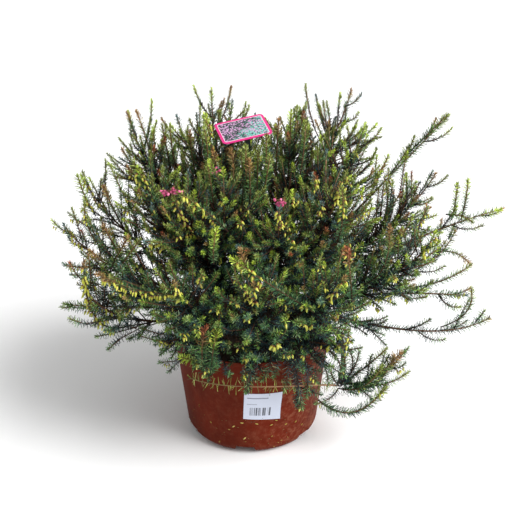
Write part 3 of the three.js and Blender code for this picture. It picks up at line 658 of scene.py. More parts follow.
def material(name, build, **constants):
    """A material whose constants sit on the shader's own sockets and whose varying values come from build."""
    made = bpy.data.materials.new(name)
    made.use_nodes = True
    tree = made.node_tree
    shader = tree.nodes["Principled BSDF"]
    for socket, value in constants.items():
        shader.inputs[socket.replace("_", " ")].default_value = value
    for socket, paint in build(Paint(tree)).items():
        tree.links.new(paint.socket, shader.inputs[socket])
    return made


def place_of(paint):
    return paint.node("ShaderNodeTexCoord", output="Object")


def squeezed(paint, at, upright):
    """The same place with its height times a number, for marks that run along or across."""
    return paint.node("ShaderNodeMapping", inputs={0: at, "Scale": (1, 1, upright)})


def own_value(paint, name):
    return paint.node("ShaderNodeAttribute", {"attribute_name": name}, output="Fac")


def noise(paint, at, scale, detail=2, roughness=0.5):
    inputs = {"Vector": at, "Scale": scale, "Detail": detail, "Roughness": roughness}
    return paint.node("ShaderNodeTexNoise", inputs=inputs)


def bump(paint, height, distance, strength=1.0):
    inputs = {"Height": height, "Distance": distance, "Strength": strength}
    return paint.node("ShaderNodeBump", inputs=inputs, output="Normal")


# Modelling helpers

SAME_HEIGHT = 1e-6


def start_clean():
    if bpy.context.object and bpy.context.object.mode != "OBJECT":
        bpy.ops.object.mode_set(mode="OBJECT")
    bpy.ops.object.select_all(action="DESELECT")


@contextmanager
def editing(kind, test):
    """Edit mode with just the corners, edges or faces that pass the test selected."""
    bpy.ops.object.mode_set(mode="EDIT")
    bpy.ops.mesh.select_mode(type=kind)
    bpy.ops.mesh.select_all(action="DESELECT")
    mesh = bmesh.from_edit_mesh(bpy.context.object.data)
    parts = {"VERT": mesh.verts, "EDGE": mesh.edges, "FACE": mesh.faces}[kind]
    for part in parts:
        part.select_set(bool(test(part)))
    bmesh.update_edit_mesh(bpy.context.object.data)
    yield
    bpy.ops.object.mode_set(mode="OBJECT")


def modify(piece, kind, **settings):
    """Adds a modifier with these settings and applies it."""
    modifier = piece.modifiers.new(kind.title(), kind)
    for name, value in settings.items():
        setattr(modifier, name, value)
    bpy.ops.object.modifier_apply(modifier=modifier.name)


def settle(piece, name, materials, slot, *nodes):
    """Puts the piece's place in its mesh, names it, gives it its finishes, hangs it on the root body and
    hides the nodes it replaces.
    """
    start_clean()
    piece.select_set(True)
    bpy.context.view_layer.objects.active = piece
    bpy.ops.object.transform_apply(location=True, rotation=True, scale=True)
    piece.name = piece.data.name = name
    for each in materials:
        piece.data.materials.append(each)
    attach(piece, "root")
    if nodes:
        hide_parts(*nodes)


def add_to_scene(name, data):
    added = bpy.data.objects.new(name, data)
    bpy.context.scene.collection.objects.link(added)
    return added


def turned(profile, sides):
    """A closed round body: a circle extruded ring by ring along a profile of (radius, height)."""
    start_clean()
    radius, height = profile[0]
    bpy.ops.mesh.primitive_circle_add(vertices=sides, radius=radius, location=(0, 0, height))
    piece = bpy.context.object
    bpy.ops.object.transform_apply(location=True)
    with editing("EDGE", lambda edge: True):
        for (radius, height), (wider, higher) in zip(profile, profile[1:]):
            bpy.ops.mesh.extrude_edges_move(TRANSFORM_OT_translate={"value": (0, 0, higher - height)})
            grow = wider / radius
            bpy.ops.transform.resize(value=(grow, grow, 1), center_override=(0, 0, higher))
        bpy.ops.mesh.edge_face_add()
    start = profile[0][1]

    def at_start(edge):
        return edge.is_boundary and all(abs(corner.co.z - start) < SAME_HEIGHT for corner in edge.verts)

    with editing("EDGE", at_start):
        bpy.ops.mesh.edge_face_add()
        bpy.ops.mesh.select_all(action="SELECT")
        bpy.ops.mesh.normals_make_consistent(inside=False)
    return piece


def pattern_of(piece):
    """A modelled part as plain numbers, corners and triangles, to be copied. The part itself is removed."""
    bpy.context.view_layer.objects.active = piece
    with editing("FACE", lambda face: True):
        bpy.ops.mesh.quads_convert_to_tris()
    mesh = piece.data
    corners = np.zeros(len(mesh.vertices) * 3)
    mesh.vertices.foreach_get("co", corners)
    triangles = np.zeros(len(mesh.polygons) * 3, int)
    mesh.polygons.foreach_get("vertices", triangles)
    bpy.data.objects.remove(piece)
    return corners.reshape(-1, 3), triangles.reshape(-1, 3)


def needle_pattern():
    """A needle one long and one wide: a slim wedge, wide at its root and blunt and deep at its tip."""
    start_clean()
    bpy.ops.mesh.primitive_cone_add(vertices=3, radius1=0.577, radius2=0, depth=1, location=(0, 0, 0.5))
    bpy.ops.object.transform_apply(location=True)
    with editing("VERT", lambda corner: abs(corner.co.x) > 0.1):
        bpy.ops.transform.translate(value=(0, 0.289, 0))
    with editing("VERT", lambda corner: corner.co.z > 0.5):
        bpy.ops.transform.translate(value=(0, -0.3, 0))
    with editing("VERT", lambda corner: corner.co.y > 0.5):
        bpy.ops.transform.translate(value=(0, -0.277, 1))
    return pattern_of(bpy.context.object)


def rod_pattern(sides, rings):
    """A closed round rod of unit radius from 0 to 1 on Z, with rings to bend it at."""
    start_clean()
    bpy.ops.mesh.primitive_cylinder_add(vertices=sides, radius=1, depth=1, location=(0, 0, 0.5))
    bpy.ops.object.transform_apply(location=True)
    with editing("EDGE", lambda edge: abs(edge.verts[0].co.z - edge.verts[1].co.z) > 0.5):
        bpy.ops.mesh.subdivide(number_cuts=rings - 1)
    return pattern_of(bpy.context.object)


def bud_pattern():
    """A closed bud one long: an egg drawn out to a blunt tip."""
    start_clean()
    bpy.ops.mesh.primitive_uv_sphere_add(segments=5, ring_count=5, radius=0.5, location=(0, 0, 0.5))
    bpy.ops.object.transform_apply(location=True)
    with editing("VERT", lambda corner: corner.co.z > 0.6):
        bpy.ops.transform.resize(value=(0.72, 0.72, 1), center_override=(0, 0, 0.6))
    return pattern_of(bpy.context.object)


def bell_pattern():
    """An open bell one long: round at the stalk, narrower at the mouth, with its stamens standing out."""
    start_clean()
    bpy.ops.mesh.primitive_uv_sphere_add(segments=8, ring_count=7, radius=0.5, location=(0, 0, 0.5))
    bpy.ops.object.transform_apply(location=True)
    with editing("FACE", lambda face: face.calc_center_median().z > 0.88):
        bpy.ops.mesh.inset(thickness=0.08, depth=-0.25)
    with editing("VERT", lambda corner: corner.co.z > 0.75):
        bpy.ops.transform.resize(value=(0.85, 0.85, 1), center_override=(0, 0, 0.8))
    return pattern_of(bpy.context.object)


def crumb_pattern():
    """A rough crumb one wide."""
    start_clean()
    bpy.ops.mesh.primitive_ico_sphere_add(subdivisions=1, radius=0.5)
    return pattern_of(bpy.context.object)


class Growth:
    """Copies of patterns, gathered with how old and which shade each is, before they become one mesh."""

    # Each material has a strip of the UV map to itself
    STRIPS = ((0.01, 0.6), (0.62, 0.79), (0.81, 0.99))
    CORNER_SPREAD = 0.002

    def __init__(self):
        self.corners, self.triangles, self.kinds = [], [], []
        self.ages, self.shades, self.across = [], [], []
        self.count = 0

    def add(self, corners, triangles, kind, ages, shades):
        """corners is (copies, corners, 3), in millimetres. ages and shades are by corner or by copy."""
        copies, size = corners.shape[:2]
        starts = self.count + size * np.arange(copies)
        self.corners.append(corners.reshape(-1, 3))
        self.triangles.append((triangles[None] + starts[:, None, None]).reshape(-1, 3))
        self.kinds.append(np.full(copies * len(triangles), kind))
        self.ages.append(np.broadcast_to(ages, (copies, size)).ravel())
        self.shades.append(np.broadcast_to(shades, (copies, size)).ravel())
        self.across.append(np.tile(np.arange(size) % 3 - 1, copies))
        self.count += copies * size

    def add_rod(self, rod, stem, radius_at, kind, ages, shade):
        """A rod bent along a stem. Its ages go from the first at its root to the second at its tip."""
        corners, triangles = rod
        self.add(bent(corners, stem, radius_at)[None], triangles, kind, lerp(*ages, corners[:, 2]), shade)

    def mesh(self, name, smooth=()):
        corners = np.concatenate(self.corners) * MM
        triangles = np.concatenate(self.triangles)
        kinds = np.concatenate(self.kinds)
        ages, shades = np.concatenate(self.ages), np.concatenate(self.shades)
        mesh = bpy.data.meshes.new(name)
        mesh.vertices.add(len(corners))
        mesh.vertices.foreach_set("co", corners.ravel())
        mesh.loops.add(triangles.size)
        mesh.loops.foreach_set("vertex_index", triangles.ravel())
        mesh.polygons.add(len(triangles))
        mesh.polygons.foreach_set("loop_start", np.arange(0, triangles.size, 3))
        mesh.polygons.foreach_set("material_index", kinds)
        mesh.polygons.foreach_set("use_smooth", np.isin(kinds, smooth))
        mesh.update(calc_edges=True)
        # For needles and twigs a low age is partly painted shade of the bush's inside, not only older growth
        for attribute, values in (("age", ages), ("shade", shades)):
            mesh.attributes.new(attribute, "FLOAT", "POINT").data.foreach_set("value", values)
        low, high = np.array(self.STRIPS)[np.repeat(kinds, 3)].T
        of_corner = triangles.ravel()
        spread = self.CORNER_SPREAD * np.concatenate(self.across)[of_corner]
        across = lerp(low, high, shades[of_corner]) + spread
        chart = np.column_stack((across, lerp(0.03, 0.97, ages[of_corner])))
        mesh.uv_layers.new(name="OFBake").data.foreach_set("uv", chart.ravel())
        return mesh


def settle_growth(growth, name, materials, slot, nodes=(), smooth=()):
    """Makes one piece of what has grown, and settles it."""
    settle(add_to_scene(name, growth.mesh(name, smooth)), name, materials, slot, *nodes)


def put(pattern, roots, directions, sides, lengths, widths):
    """Copies of a pattern that stands on Z, each at a root along a direction, with its X along a side."""
    sides = unit(sides - (sides * directions).sum(-1, keepdims=True) * directions)
    third = np.cross(directions, sides)
    shape = pattern[None] * np.stack((widths, widths, lengths), axis=1)[:, None]
    across = shape[..., :1] * sides[:, None] + shape[..., 1:2] * third[:, None]
    return roots[:, None] + across + shape[..., 2:] * directions[:, None]


def bent(pattern, stem, radius_at):
    """A rod pattern bent along a stem, with its radius by share."""
    shares = pattern[:, 2]
    around = np.degrees(np.arctan2(pattern[:, 1], pattern[:, 0]))
    radii = np.hypot(pattern[:, 0], pattern[:, 1]) * radius_at(shares)
    return stem.on_curve(shares) + stem.outward(shares, around) * radii[:, None]


# Pot

INNER_FOOT_ANGLES = (10, 30, 50, 70, 86)


def wall_radius(height):
    if height >= COLLAR_BOTTOM:
        return RIM_RADIUS - COLLAR_DRAFT * (POT_HEIGHT - height) / COLLAR_HEIGHT
    return RIM_RADIUS - COLLAR_DRAFT - COLLAR_STEP - WALL_SLOPE * (COLLAR_BOTTOM - height)


def foot_centre():
    return wall_radius(FOOT_FILLET) - FOOT_FILLET


def outer_radius(height):
    """The pot's outside, its rounded foot included."""
    if height >= FOOT_FILLET:
        return wall_radius(height)
    return foot_centre() + math.sqrt(FOOT_FILLET**2 - (FOOT_FILLET - height) ** 2)


def foot_line(inwards, angles):
    """The rounded foot's line, moved inwards, at angles up from its lowest point."""
    fillet = FOOT_FILLET - inwards
    turns = [math.radians(angle) for angle in angles]
    rows = [(fillet * math.sin(turn), fillet * math.cos(turn)) for turn in turns]
    return [(foot_centre() + out, FOOT_FILLET - down) for out, down in rows]


def in_metres(rows):
    return [(radius * MM, height * MM) for radius, height in rows]


def outside_profile():
    return [
        (6, 0.9),
        (46, 0.9),
        (49, 0),
        *foot_line(0, (4, 12, 20, 28, 36, 44, 52, 60, 68, 76, 86)),
        (wall_radius(60), 60),
        (wall_radius(COLLAR_BOTTOM - 3), COLLAR_BOTTOM - 3),
        (wall_radius(COLLAR_BOTTOM - 1), COLLAR_BOTTOM - 1),
        (wall_radius(COLLAR_BOTTOM) - 0.2, COLLAR_BOTTOM - 0.2),
        (wall_radius(COLLAR_BOTTOM), COLLAR_BOTTOM + 0.7),
        (wall_radius(COLLAR_BOTTOM + 3), COLLAR_BOTTOM + 3),
        (RIM_RADIUS - 0.4, POT_HEIGHT - 5),
        (RIM_RADIUS, POT_HEIGHT - 4),
        (RIM_RADIUS, POT_HEIGHT - 0.6),
        (RIM_RADIUS - 0.5, POT_HEIGHT),
    ]


def inside_profile():
    rim = RIM_RADIUS - WALL_THICKNESS
    return [
        (rim + 0.4, POT_HEIGHT),
        (rim - 0.1, POT_HEIGHT - 0.6),
        (rim - 1.2, COLLAR_BOTTOM),
        *reversed(foot_line(WALL_THICKNESS, INNER_FOOT_ANGLES)),
        (6, WALL_THICKNESS + 0.9),
    ]


def slot_blocks(grown, bottom):
    """The space of every drainage slot, grown by some millimetres at its sides and top."""
    width, depth, top = SLOT_WIDTH + 2 * grown, RIM_RADIUS - SLOT_INNER_RADIUS, SLOT_HEIGHT + grown
    for i in range(SLOT_COUNT):
        start_clean()
        bpy.ops.mesh.primitive_cube_add(size=1)
        block = bpy.context.object
        block.scale = Vector((width, depth, top - bottom)) * MM
        block.location = Vector((0, -(SLOT_INNER_RADIUS + depth / 2), (top + bottom) / 2)) * MM
        bpy.ops.object.transform_apply(location=True, scale=True)
        with editing("FACE", lambda face: face.normal.z > 0.9):
            narrow = (SLOT_TOP_WIDTH + 2 * grown) / width
            bpy.ops.transform.resize(value=(narrow, 1, 1), center_override=(0, 0, 0))
        turn = math.radians(SLOT_FIRST_AZIMUTH + 90 + 360 / SLOT_COUNT * i)
        block.data.transform(Matrix.Rotation(turn, 4, "Z"))
        yield block


def combine(piece, other, operation):
    """Joins another closed body to the piece, or keeps or cuts away what they share."""
    bpy.context.view_layer.objects.active = piece
    modify(piece, "BOOLEAN", object=other, operation=operation, solver="EXACT")


def cut_away(piece, blocks):
    for block in blocks:
        combine(piece, block, "DIFFERENCE")
        bpy.data.objects.remove(block)


def cut_slots(pot, full):
    """Gives each drainage slot its walls, kept within the pot's outside, and opens it."""
    for block in slot_blocks(WALL_THICKNESS, 0):
        combine(block, full, "INTERSECT")
        combine(pot, block, "UNION")
        bpy.data.objects.remove(block)
    cut_away(pot, slot_blocks(0, -1))


def pot_plastic(settings):
    def build(paint):
        at = place_of(paint)
        cloud = noise(paint, at, 14, 4, 0.6)
        dust = noise(paint, at, 140, 5, 0.7)
        scuffs = noise(paint, squeezed(paint, at, 7), 60, 6, 0.75)
        shade = cloud.between(0.3, 0.75).mix(scaled(settings.plastic, 0.62), settings.plastic)
        # Pale dust flecks all round, and many more on the pot's right side: that paler right side is a
        # painted sheen of the light from the right, not only dust
        right = paint.node("ShaderNodeSeparateXYZ", inputs={0: at}).between(-0.02, 0.1)
        dust_and_sheen = (dust.between(0.4, 0.8) * (0.1 + right * 0.45)).mix(shade, "#a8765a")
        grazed = (scuffs.between(0.68, 0.82) * 0.2).mix(dust_and_sheen, "#b5705a")
        grain = noise(paint, at, 900)
        return {
            "Base Color": grazed,
            "Roughness": 0.42 + dust * 0.2 + cloud * 0.1,
            "Normal": bump(paint, grain + cloud * 3, 0.12 * MM, 0.6),
        }

    return material("pot_plastic", build, Specular_IOR_Level=0.05)


class HEATH_OT_pot(bpy.types.Operator):
    """Adds the moulded nursery pot with its collar and drainage slots"""

    bl_idname = "heath.pot"
    bl_label = "Add Pot"

    def execute(self, context):
        settings = context.scene.heath_pot
        full = turned(in_metres(outside_profile()), settings.sides)
        pot = turned(in_metres([*outside_profile(), *inside_profile()]), settings.sides)
        cut_slots(pot, full)
        bpy.data.objects.remove(full)
        bpy.ops.object.shade_smooth_by_angle(angle=math.radians(35))
        settle(pot, "nursery_pot", [pot_plastic(settings)], "pot", "pot")
        return {"FINISHED"}


# Compost and grit

SOIL_SIDES = 72
SOIL_RINGS = 16
CRUMB_COUNT = 620
CRUMB_REACH = 88
CRUMB_SINK = 0.2
CRUMB_LENGTHS = (1.2, 6)
CRUMB_WIDTHS = (0.45, 0.9)
# Bits on the pot: from the largest to the smallest of those placed, and the small ones between
BIT_LENGTHS = (4.8, 2.6)
BIT_WIDTHS = (1.6, 1)
BIT_SHADES = (0.95, 0.4)
SMALL_BITS = 60
SMALL_LENGTHS = (0.9, 2.8)
SMALL_WIDTHS = (0.6, 1)
SMALL_SHADES = (0, 0.5)


def compost_paint(settings):
    def build(paint):
        at = place_of(paint)
        lumps = noise(paint, at, 160, 5, 0.65)
        fibres = noise(paint, at, 620, 3, 0.6)
        shade = own_value(paint, "shade")
        crumbs = shade.mix(settings.soil, "#6b4c33")
        soil = (lumps.between(0.45, 0.75) * 0.5).mix(crumbs, "#3c2a1c")
        return {"Base Color": soil, "Normal": bump(paint, lumps + fibres, 0.9 * MM)}

    return material("damp_compost", build, Roughness=0.92)


def soil_height(x, y):
    share = np.hypot(x, y) / RIM_RADIUS
    return SOIL_TOP + 2.5 * (1 - share**2) + 1.1 * np.sin(x / 9 + 1) * np.cos(y / 11)


def crumbs_on_soil(growth, pattern):
    """Loose crumbs and bits of bark, strewn over the surface."""
    random = np.random.default_rng(5)
    count = CRUMB_COUNT
    headings = flat_headings(random.uniform(0, 360, count))
    spots = headings * (CRUMB_REACH * np.sqrt(random.uniform(0, 1, count)))[:, None]
    roots = np.column_stack((spots, soil_height(*spots.T) - CRUMB_SINK))
    directions = unit(random.normal(size=(count, 3)))
    sides = random.normal(size=(count, 3))
    lengths = random.uniform(*CRUMB_LENGTHS, count)
    widths = lengths * random.uniform(*CRUMB_WIDTHS, count)
    shades = random.uniform(0, 1, (count, 1)) ** 2
    growth.add(put(pattern[0], roots, directions, sides, lengths, widths), pattern[1], 0, 0.5, shades)


class HEATH_OT_compost(bpy.types.Operator):
    """Adds the compost with its crumbs, and the bits that stick to the pot"""

    bl_idname = "heath.compost"
    bl_label = "Add Compost"

    def execute(self, context):
        paint = compost_paint(context.scene.heath_pot)
        gap = WALL_THICKNESS + SOIL_GAP
        edge = RIM_RADIUS - gap - WALL_THICKNESS
        profile = [(4, gap + 0.4), *foot_line(gap, INNER_FOOT_ANGLES), (edge, SOIL_TOP - 3)]
        rings = [(radius, SOIL_TOP) for radius in np.linspace(edge - 3, 4, SOIL_RINGS)]
        body = turned(in_metres([*profile, *rings]), SOIL_SIDES)
        cut_away(body, slot_blocks(gap, 0))
        growth = Growth()
        growth.add(self.rippled(body), pattern_of(body)[1], 0, 0.5, 0.15)
        crumb = crumb_pattern()
        crumbs_on_soil(growth, crumb)
        settle_growth(growth, "compost", [paint], "soil", ["soil"])
        grit = Growth()
        self.stuck_bits(grit, crumb)
        settle_growth(grit, "stuck_grit", [grit_paint()], "soil")
        return {"FINISHED"}

    def rippled(self, body):
        """The compost's corners, with the top ones raised and dropped a little."""
        corners = np.array([corner.co for corner in body.data.vertices]) / MM
        top = corners[:, 2] > SOIL_TOP - 0.5
        x, y = corners[top, 0], corners[top, 1]
        rough = np.random.default_rng(6).uniform(-0.8, 0.8, top.sum())
        corners[top, 2] = soil_height(x, y) + rough
        return corners[None]

    def stuck_bits(self, growth, pattern):
        """Pale bits of needle and bark that stick to the outside of the pot, and smaller ones between."""
        random = np.random.default_rng(11)
        few, many = len(STUCK_BITS), SMALL_BITS
        placed = np.array(STUCK_BITS).T
        azimuths = np.append(placed[0], random.uniform(-170, -10, many))
        heights = np.append(placed[1], random.uniform(8, 60, many))
        radii = np.array([outer_radius(height) for height in heights]) + 0.3
        flat = flat_headings(azimuths)
        roots = np.column_stack((flat * radii[:, None], heights))
        outward = np.column_stack((flat, np.zeros(few + many)))
        slant = random.uniform(-1, 1, (few + many, 1))
        directions = unit(np.cross(outward, UP) + slant * UP)
        lengths = np.append(np.linspace(*BIT_LENGTHS, few), random.uniform(*SMALL_LENGTHS, many))
        widths = np.append(np.linspace(*BIT_WIDTHS, few), random.uniform(*SMALL_WIDTHS, many))
        shades = np.append(np.linspace(*BIT_SHADES, few), random.uniform(*SMALL_SHADES, many))[:, None]
        growth.add(put(pattern[0], roots, directions, outward, lengths, widths), pattern[1], 0, 0.5, shades)


def grit_paint():
    def build(paint):
        shade = own_value(paint, "shade")
        stops = ((0, "#4a2f1a"), (0.4, "#8a6c2c"), (0.75, "#9c8634"), (1, "#c8b968"))
        return {"Base Color": shade.ramp(*stops)}

    return material("dry_bits", build, Roughness=0.8)


# Woody limbs

LIMB_RADII = (4.2, 4.1, 3.6, 2.4)
FORK_RADII = (2.1, 2.2)
KNOTTINESS = (0.86, 1.14)


def bark_paint(settings):
    def build(paint):
        at = place_of(paint)
        strips = noise(paint, squeezed(paint, at, 0.3), 700, 5, 0.7)
        patches = noise(paint, at, 60, 3)
        wood = strips.between(0.35, 0.7).mix(scaled(settings.bark, 0.4), settings.bark)
        worn = (patches.between(0.5, 0.7) * 0.6).mix(wood, scaled(settings.bark, 1.9))
        return {"Base Color": worn, "Normal": bump(paint, strips, 0.5 * MM)}

    return material("limb_bark", build, Roughness=0.86)


class HEATH_OT_limbs(bpy.types.Operator):
    """Adds the woody limbs with their forks"""

    bl_idname = "heath.limbs"
    bl_label = "Add Limbs"

    def execute(self, context):
        bark = bark_paint(context.scene.heath_plant)
        thick, thin = rod_pattern(10, 18), rod_pattern(7, 5)
        for seed, (name, (limb, forks)) in enumerate(LIMB_LINES.items()):
            growth = Growth()
            knots = np.random.default_rng(seed).uniform(*KNOTTINESS, 400)

            def limb_radius(share):
                return np.interp(share, LIMB_SHARES, LIMB_RADII) * knots[: len(share)]

            def fork_radius(share):
                return np.interp(share, (0, 1), FORK_RADII) * knots[-len(share) :]

            growth.add_rod(thick, limb, limb_radius, 0, (0.1, 0.1), 0.5)
            for fork in forks:
                growth.add_rod(thin, fork, fork_radius, 0, (0.2, 0.2), 0.5)
            settle_growth(growth, f"woody_{name}", [bark], "bark", [f"limb_{name}"], (0,))
        return {"FINISHED"}


# Leafy sprays

NEEDLES, TWIGS, BUDS = range(3)
TONES = {"olive": 0, "bronze": 1, "fresh": 2, "deep": 3, "rust": 4}
LOW_TONE_CHANCES = np.array((0.22, 0.06, 0.13, 0.58, 0.01))
HIGH_TONE_CHANCES = np.array((0.46, 0.13, 0.3, 0.08, 0.03))
SINGLE_LIGHT = 0.95
DEEP_LIGHT = 0.4

# The radii, ages and shade of an axis, and what its twigs have
WOODY_AXIS = ((2.1, 0.6), (0.0, 0.95), 0.5)
PLAIN_AXIS = ((1.2, 0.6), (0.8, 0.95), 1.0)
TWIG_RADII = (0.9, 0.75)
TWIG_AGE = 0.25

# Where a plant gets its light, and where its shoots turn compact
LIGHT_REACH = 260
LIGHT_FROM = 120
LIGHT_RISE = 220
LIGHT_SHARES = (0.55, 0.5)
COMPACT_FROM = 225
COMPACT_RISE = 110

# Fine shoots: how close their tips stand, how far they lie from the axis, and what they keep clear of
FILL_SEED = 7
FILL_ROUNDS = 400
TIP_SPACINGS = (19.8, 13.5)
AIRY_SPRAYS = ("left_1", "left_2", "left_4", "left_5", "front_left_1")
AIRY_SPACING = 1.5
SPRAY_WIDTH = ((0, 0.5, 0.85, 1), (26, 42, 54, 24))
LEAN_WIDTH = 0.55
FINE_START = 0.08
LEAN_FINE_END = 0.42
FULL_SPRAYS = ("hanging_2",)
FINE_REACH = 0.96
FINE_SLANTS = (36, 68)
FINE_BEND = (0.62, 0.62, 0.4)
FINE_SAG = 0.1
FINE_SWAY = 0.12
POT_CLEARANCE = 3
LIP_WIDTH = 4
CARD_CLEARANCE = 4
BEHIND_CARD = 8

# Needles: those of a ring, and the lengths back from the tip over which they open, grow and darken
RING_NEEDLES = 4
RING_TURN = 0.5
RING_CLOSENESS = (0, 12, 24, 40)
OLD_SPACING = 1.7
TIP_SLANT = 22
OPEN_OVER = 6
GROW_OVER = 9
# Needles darken over this length back from the tip, partly with age and partly as painted shade inside the
# bush
DARKEN_OVER = 36
OLD_SHARE = 0.06
EVEN_OLD_SHARE = 0.5
STRAY_TURN = 16
STRAY_SLANT = 18
STRAY_SIZES = (0.8, 1.15)

# Sizes and spreads of needles low down and at the top
LEADER_SIZES = (0.8, 0.7)
LEADER_SPREADS = (70, 52)
SIDE_SIZES = (0.74, 0.6)
SIDE_SPREADS = (76, 46)
EVEN_SPREAD = 62
STRAY_SPREAD = 8
LEAFY_SHARE = 0.94
LEAFY_LENGTHS = (38, 60)
LEADER_GAP = 0.8
SINGLE_GAP = 0.7
DEEP_GAP = 1.1

# Closed buds
FIRST_BUD = 5
BUD_STEP = 3.2
BAND_BUDS = 9
BAND_BUD_SIZE = 1.25
BAND_SIDE_CHANCE = 0.24
SIDE_CHANCE = 0.05
LOOSE_BUDS = (2, 7)


@dataclass
class Shoot:
    """A leafy shoot: its stem, the length that is in leaf, how much light it gets, and what it bears."""

    stem: Stem
    leafy: float
    light: float
    tone: str
    size: float
    spread: float
    buds: int = 0
    gap: float = 1.0
    even: bool = False
    combed: bool = False


def needle_paint(settings):
    """Needles go from near black where old and deep in the bush, over green, to their shoot's own tone at its
    tip. The near black inside and the duller tips of shoots that get less light are painted shade.
    """

    def build(paint):
        age, shade = own_value(paint, "age"), own_value(paint, "shade")
        tips = [getattr(settings, f"{tone}_tip") for tone in TONES]
        steps = [(i / len(TONES), tuple(tip)) for i, tip in enumerate(tips)]
        newest = shade.ramp(*steps, interpolation="CONSTANT")
        grown = age.ramp((0, settings.old_leaf), (0.34, settings.low_leaf), (0.62, settings.leaf))
        toned = age.between(0.55, 0.95).mix(grown, newest)
        tint = (shade * len(TONES)).math("FRACT")
        lit = toned.brighter(0.3 + tint * tint * 3.2)
        glint = tint.between(0.8, 1) * age.between(0.1, 0.45) * 0.7
        wax = age.between(0.3, 0.8) * tint * 0.7
        return {"Base Color": glint.mix(lit, "#c4cc94"), "Coat Weight": wax}

    return material("waxy_needles", build, Roughness=0.5, Specular_IOR_Level=0.1, Coat_Roughness=0.3)


def twig_paint():
    def build(paint):
        age, shade = own_value(paint, "age"), own_value(paint, "shade")
        # Near black at the foot of an axis, deep in the bush, as painted shade; then brown, and greener at
        # the tips. Twigs of shoots that get less light stop darker, also painted shade.
        stops = ((0, "#0c0806"), (0.35, "#3a261b"), (0.65, "#70503c"), (0.88, "#84644a"), (1, "#66683a"))
        return {"Base Color": age.ramp(*stops).brighter(0.65 + shade * 0.6)}

    return material("young_bark", build, Roughness=0.6, Specular_IOR_Level=0.15)


def bud_paint(settings):
    """Buds are pinkish brown at the stalk, then yellow-green, with a cream tip."""

    def build(paint):
        age, shade = own_value(paint, "age"), own_value(paint, "shade")
        sepals = age.between(0.12, 0.42).mix("#8a4c34", shade.mix("#949a30", settings.bud))
        cream = age.between(0.6, 1) * shade.between(0.55, 1) * 0.6
        return {"Base Color": cream.mix(sepals, "#efe6a4")}

    return material("closed_buds", build, Roughness=0.34)


def light_at(point):
    """How much light a place in the plant gets, from 0 inside and low down to 1 at its top."""
    out = np.linalg.norm(point - CROWN) / LIGHT_REACH
    up = (point[2] - LIGHT_FROM) / LIGHT_RISE
    return float(np.clip(LIGHT_SHARES[0] * out + LIGHT_SHARES[1] * up, 0, 1))


def top_share(point):
    """From 0 half way up the plant, where shoots spread, to 1 at its top, where they stand close."""
    return float(np.clip((point[2] - COMPACT_FROM) / COMPACT_RISE, 0, 1))


def clear_of_pot(stem):
    """True if no point of a shoot runs into the pot or the compost."""
    points = stem.on_curve(np.linspace(0.15, 1, 6))
    radii, heights = np.hypot(points[:, 0], points[:, 1]), points[:, 2]
    above = heights > POT_HEIGHT + POT_CLEARANCE
    beside = radii > RIM_RADIUS + 2 * POT_CLEARANCE
    within = (radii < RIM_RADIUS - LIP_WIDTH - POT_CLEARANCE) & (heights > SOIL_TOP + 2 * POT_CLEARANCE)
    return bool(np.all(above | beside | within))


def leaves_card_in_view(stem):
    """True if no point of a shoot runs through the label's card or stands between it and its viewer."""
    offsets = stem.on_curve(np.linspace(0, 1, 8)) - np.array(CARD_CENTRE)
    facing = -np.array(CARD_RIGHT.cross(CARD_DOWN))
    near = (offsets @ facing) / (TO_VIEWER @ facing)
    seen = offsets - near[:, None] * TO_VIEWER
    right, down = np.abs(seen @ np.array(CARD_RIGHT)), np.abs(seen @ np.array(CARD_DOWN))
    over_card = (right < CARD_WIDTH / 2 + CARD_CLEARANCE) & (down < CARD_HEIGHT / 2 + CARD_CLEARANCE)
    return not (over_card & (near > -BEHIND_CARD)).any()


def fill_sprays(sprays):
    """Gives each spray its fine shoots. Their tips are spread evenly through the space round its axis."""
    random = np.random.default_rng(FILL_SEED)
    bushy = [spray for spray in sprays if not spray.plain]
    taken = np.zeros((0, 3))
    for spray in sprays:
        spray.shoots = solid_shoots(spray)
        taken = np.vstack((taken, [shoot.points[-1] for shoot in [spray.axis, *spray.shoots]]))
    for _ in range(FILL_ROUNDS):
        for spray in bushy:
            stem = fine_stem(spray, random)
            if stem is None:
                continue
            tip = stem.points[-1]
            airy = AIRY_SPACING if spray.name in AIRY_SPRAYS else 1
            spacing = lerp(*TIP_SPACINGS, light_at(tip)) * airy
            if np.min(((taken - tip) ** 2).sum(1)) < spacing**2:
                continue
            if clear_of_pot(stem) and leaves_card_in_view(stem):
                taken = np.vstack((taken, tip))
                spray.fine.append(stem)


def fine_stem(spray, random):
    """One try at a fine shoot's stem: it leaves the axis at a slant and bends up towards the light."""
    axis = spray.axis
    bare_end = spray.lean and spray.name not in FULL_SPRAYS
    share = random.uniform(FINE_START, LEAN_FINE_END if bare_end else 1)
    width = np.interp(share, *SPRAY_WIDTH) * (LEAN_WIDTH if spray.lean else 1)
    away = width * math.sqrt(random.uniform(0.02, 1))
    tip = axis.on_curve(share) + axis.outward(share, random.uniform(0, 360)) * away
    reach = np.linalg.norm(axis.points[-1] - CROWN)
    if np.linalg.norm(tip - CROWN) > FINE_REACH * reach - 0.2 * away:
        return None
    slant = math.radians(random.uniform(*FINE_SLANTS))
    back = max(share * axis.length - away / math.tan(slant) - random.uniform(6, 20), 2)
    root = axis.on_curve(axis.share_at(back))
    length = np.linalg.norm(tip - root)
    sideways = random.normal(0, FINE_SWAY * length, 3)
    bend = root + (tip - root) * FINE_BEND - (0, 0, FINE_SAG * length)
    return Stem([root, bend + sideways, tip])


def needle_stations(reach, spacing, oldest):
    """Distances back from a shoot's tip at which it has a ring of needles: closer near the tip."""
    stations, at = [], 0.3
    while at < reach:
        stations.append(at)
        at += spacing * np.interp(at, RING_CLOSENESS, (0.5, 1, 1, oldest))
    return np.array(stations)


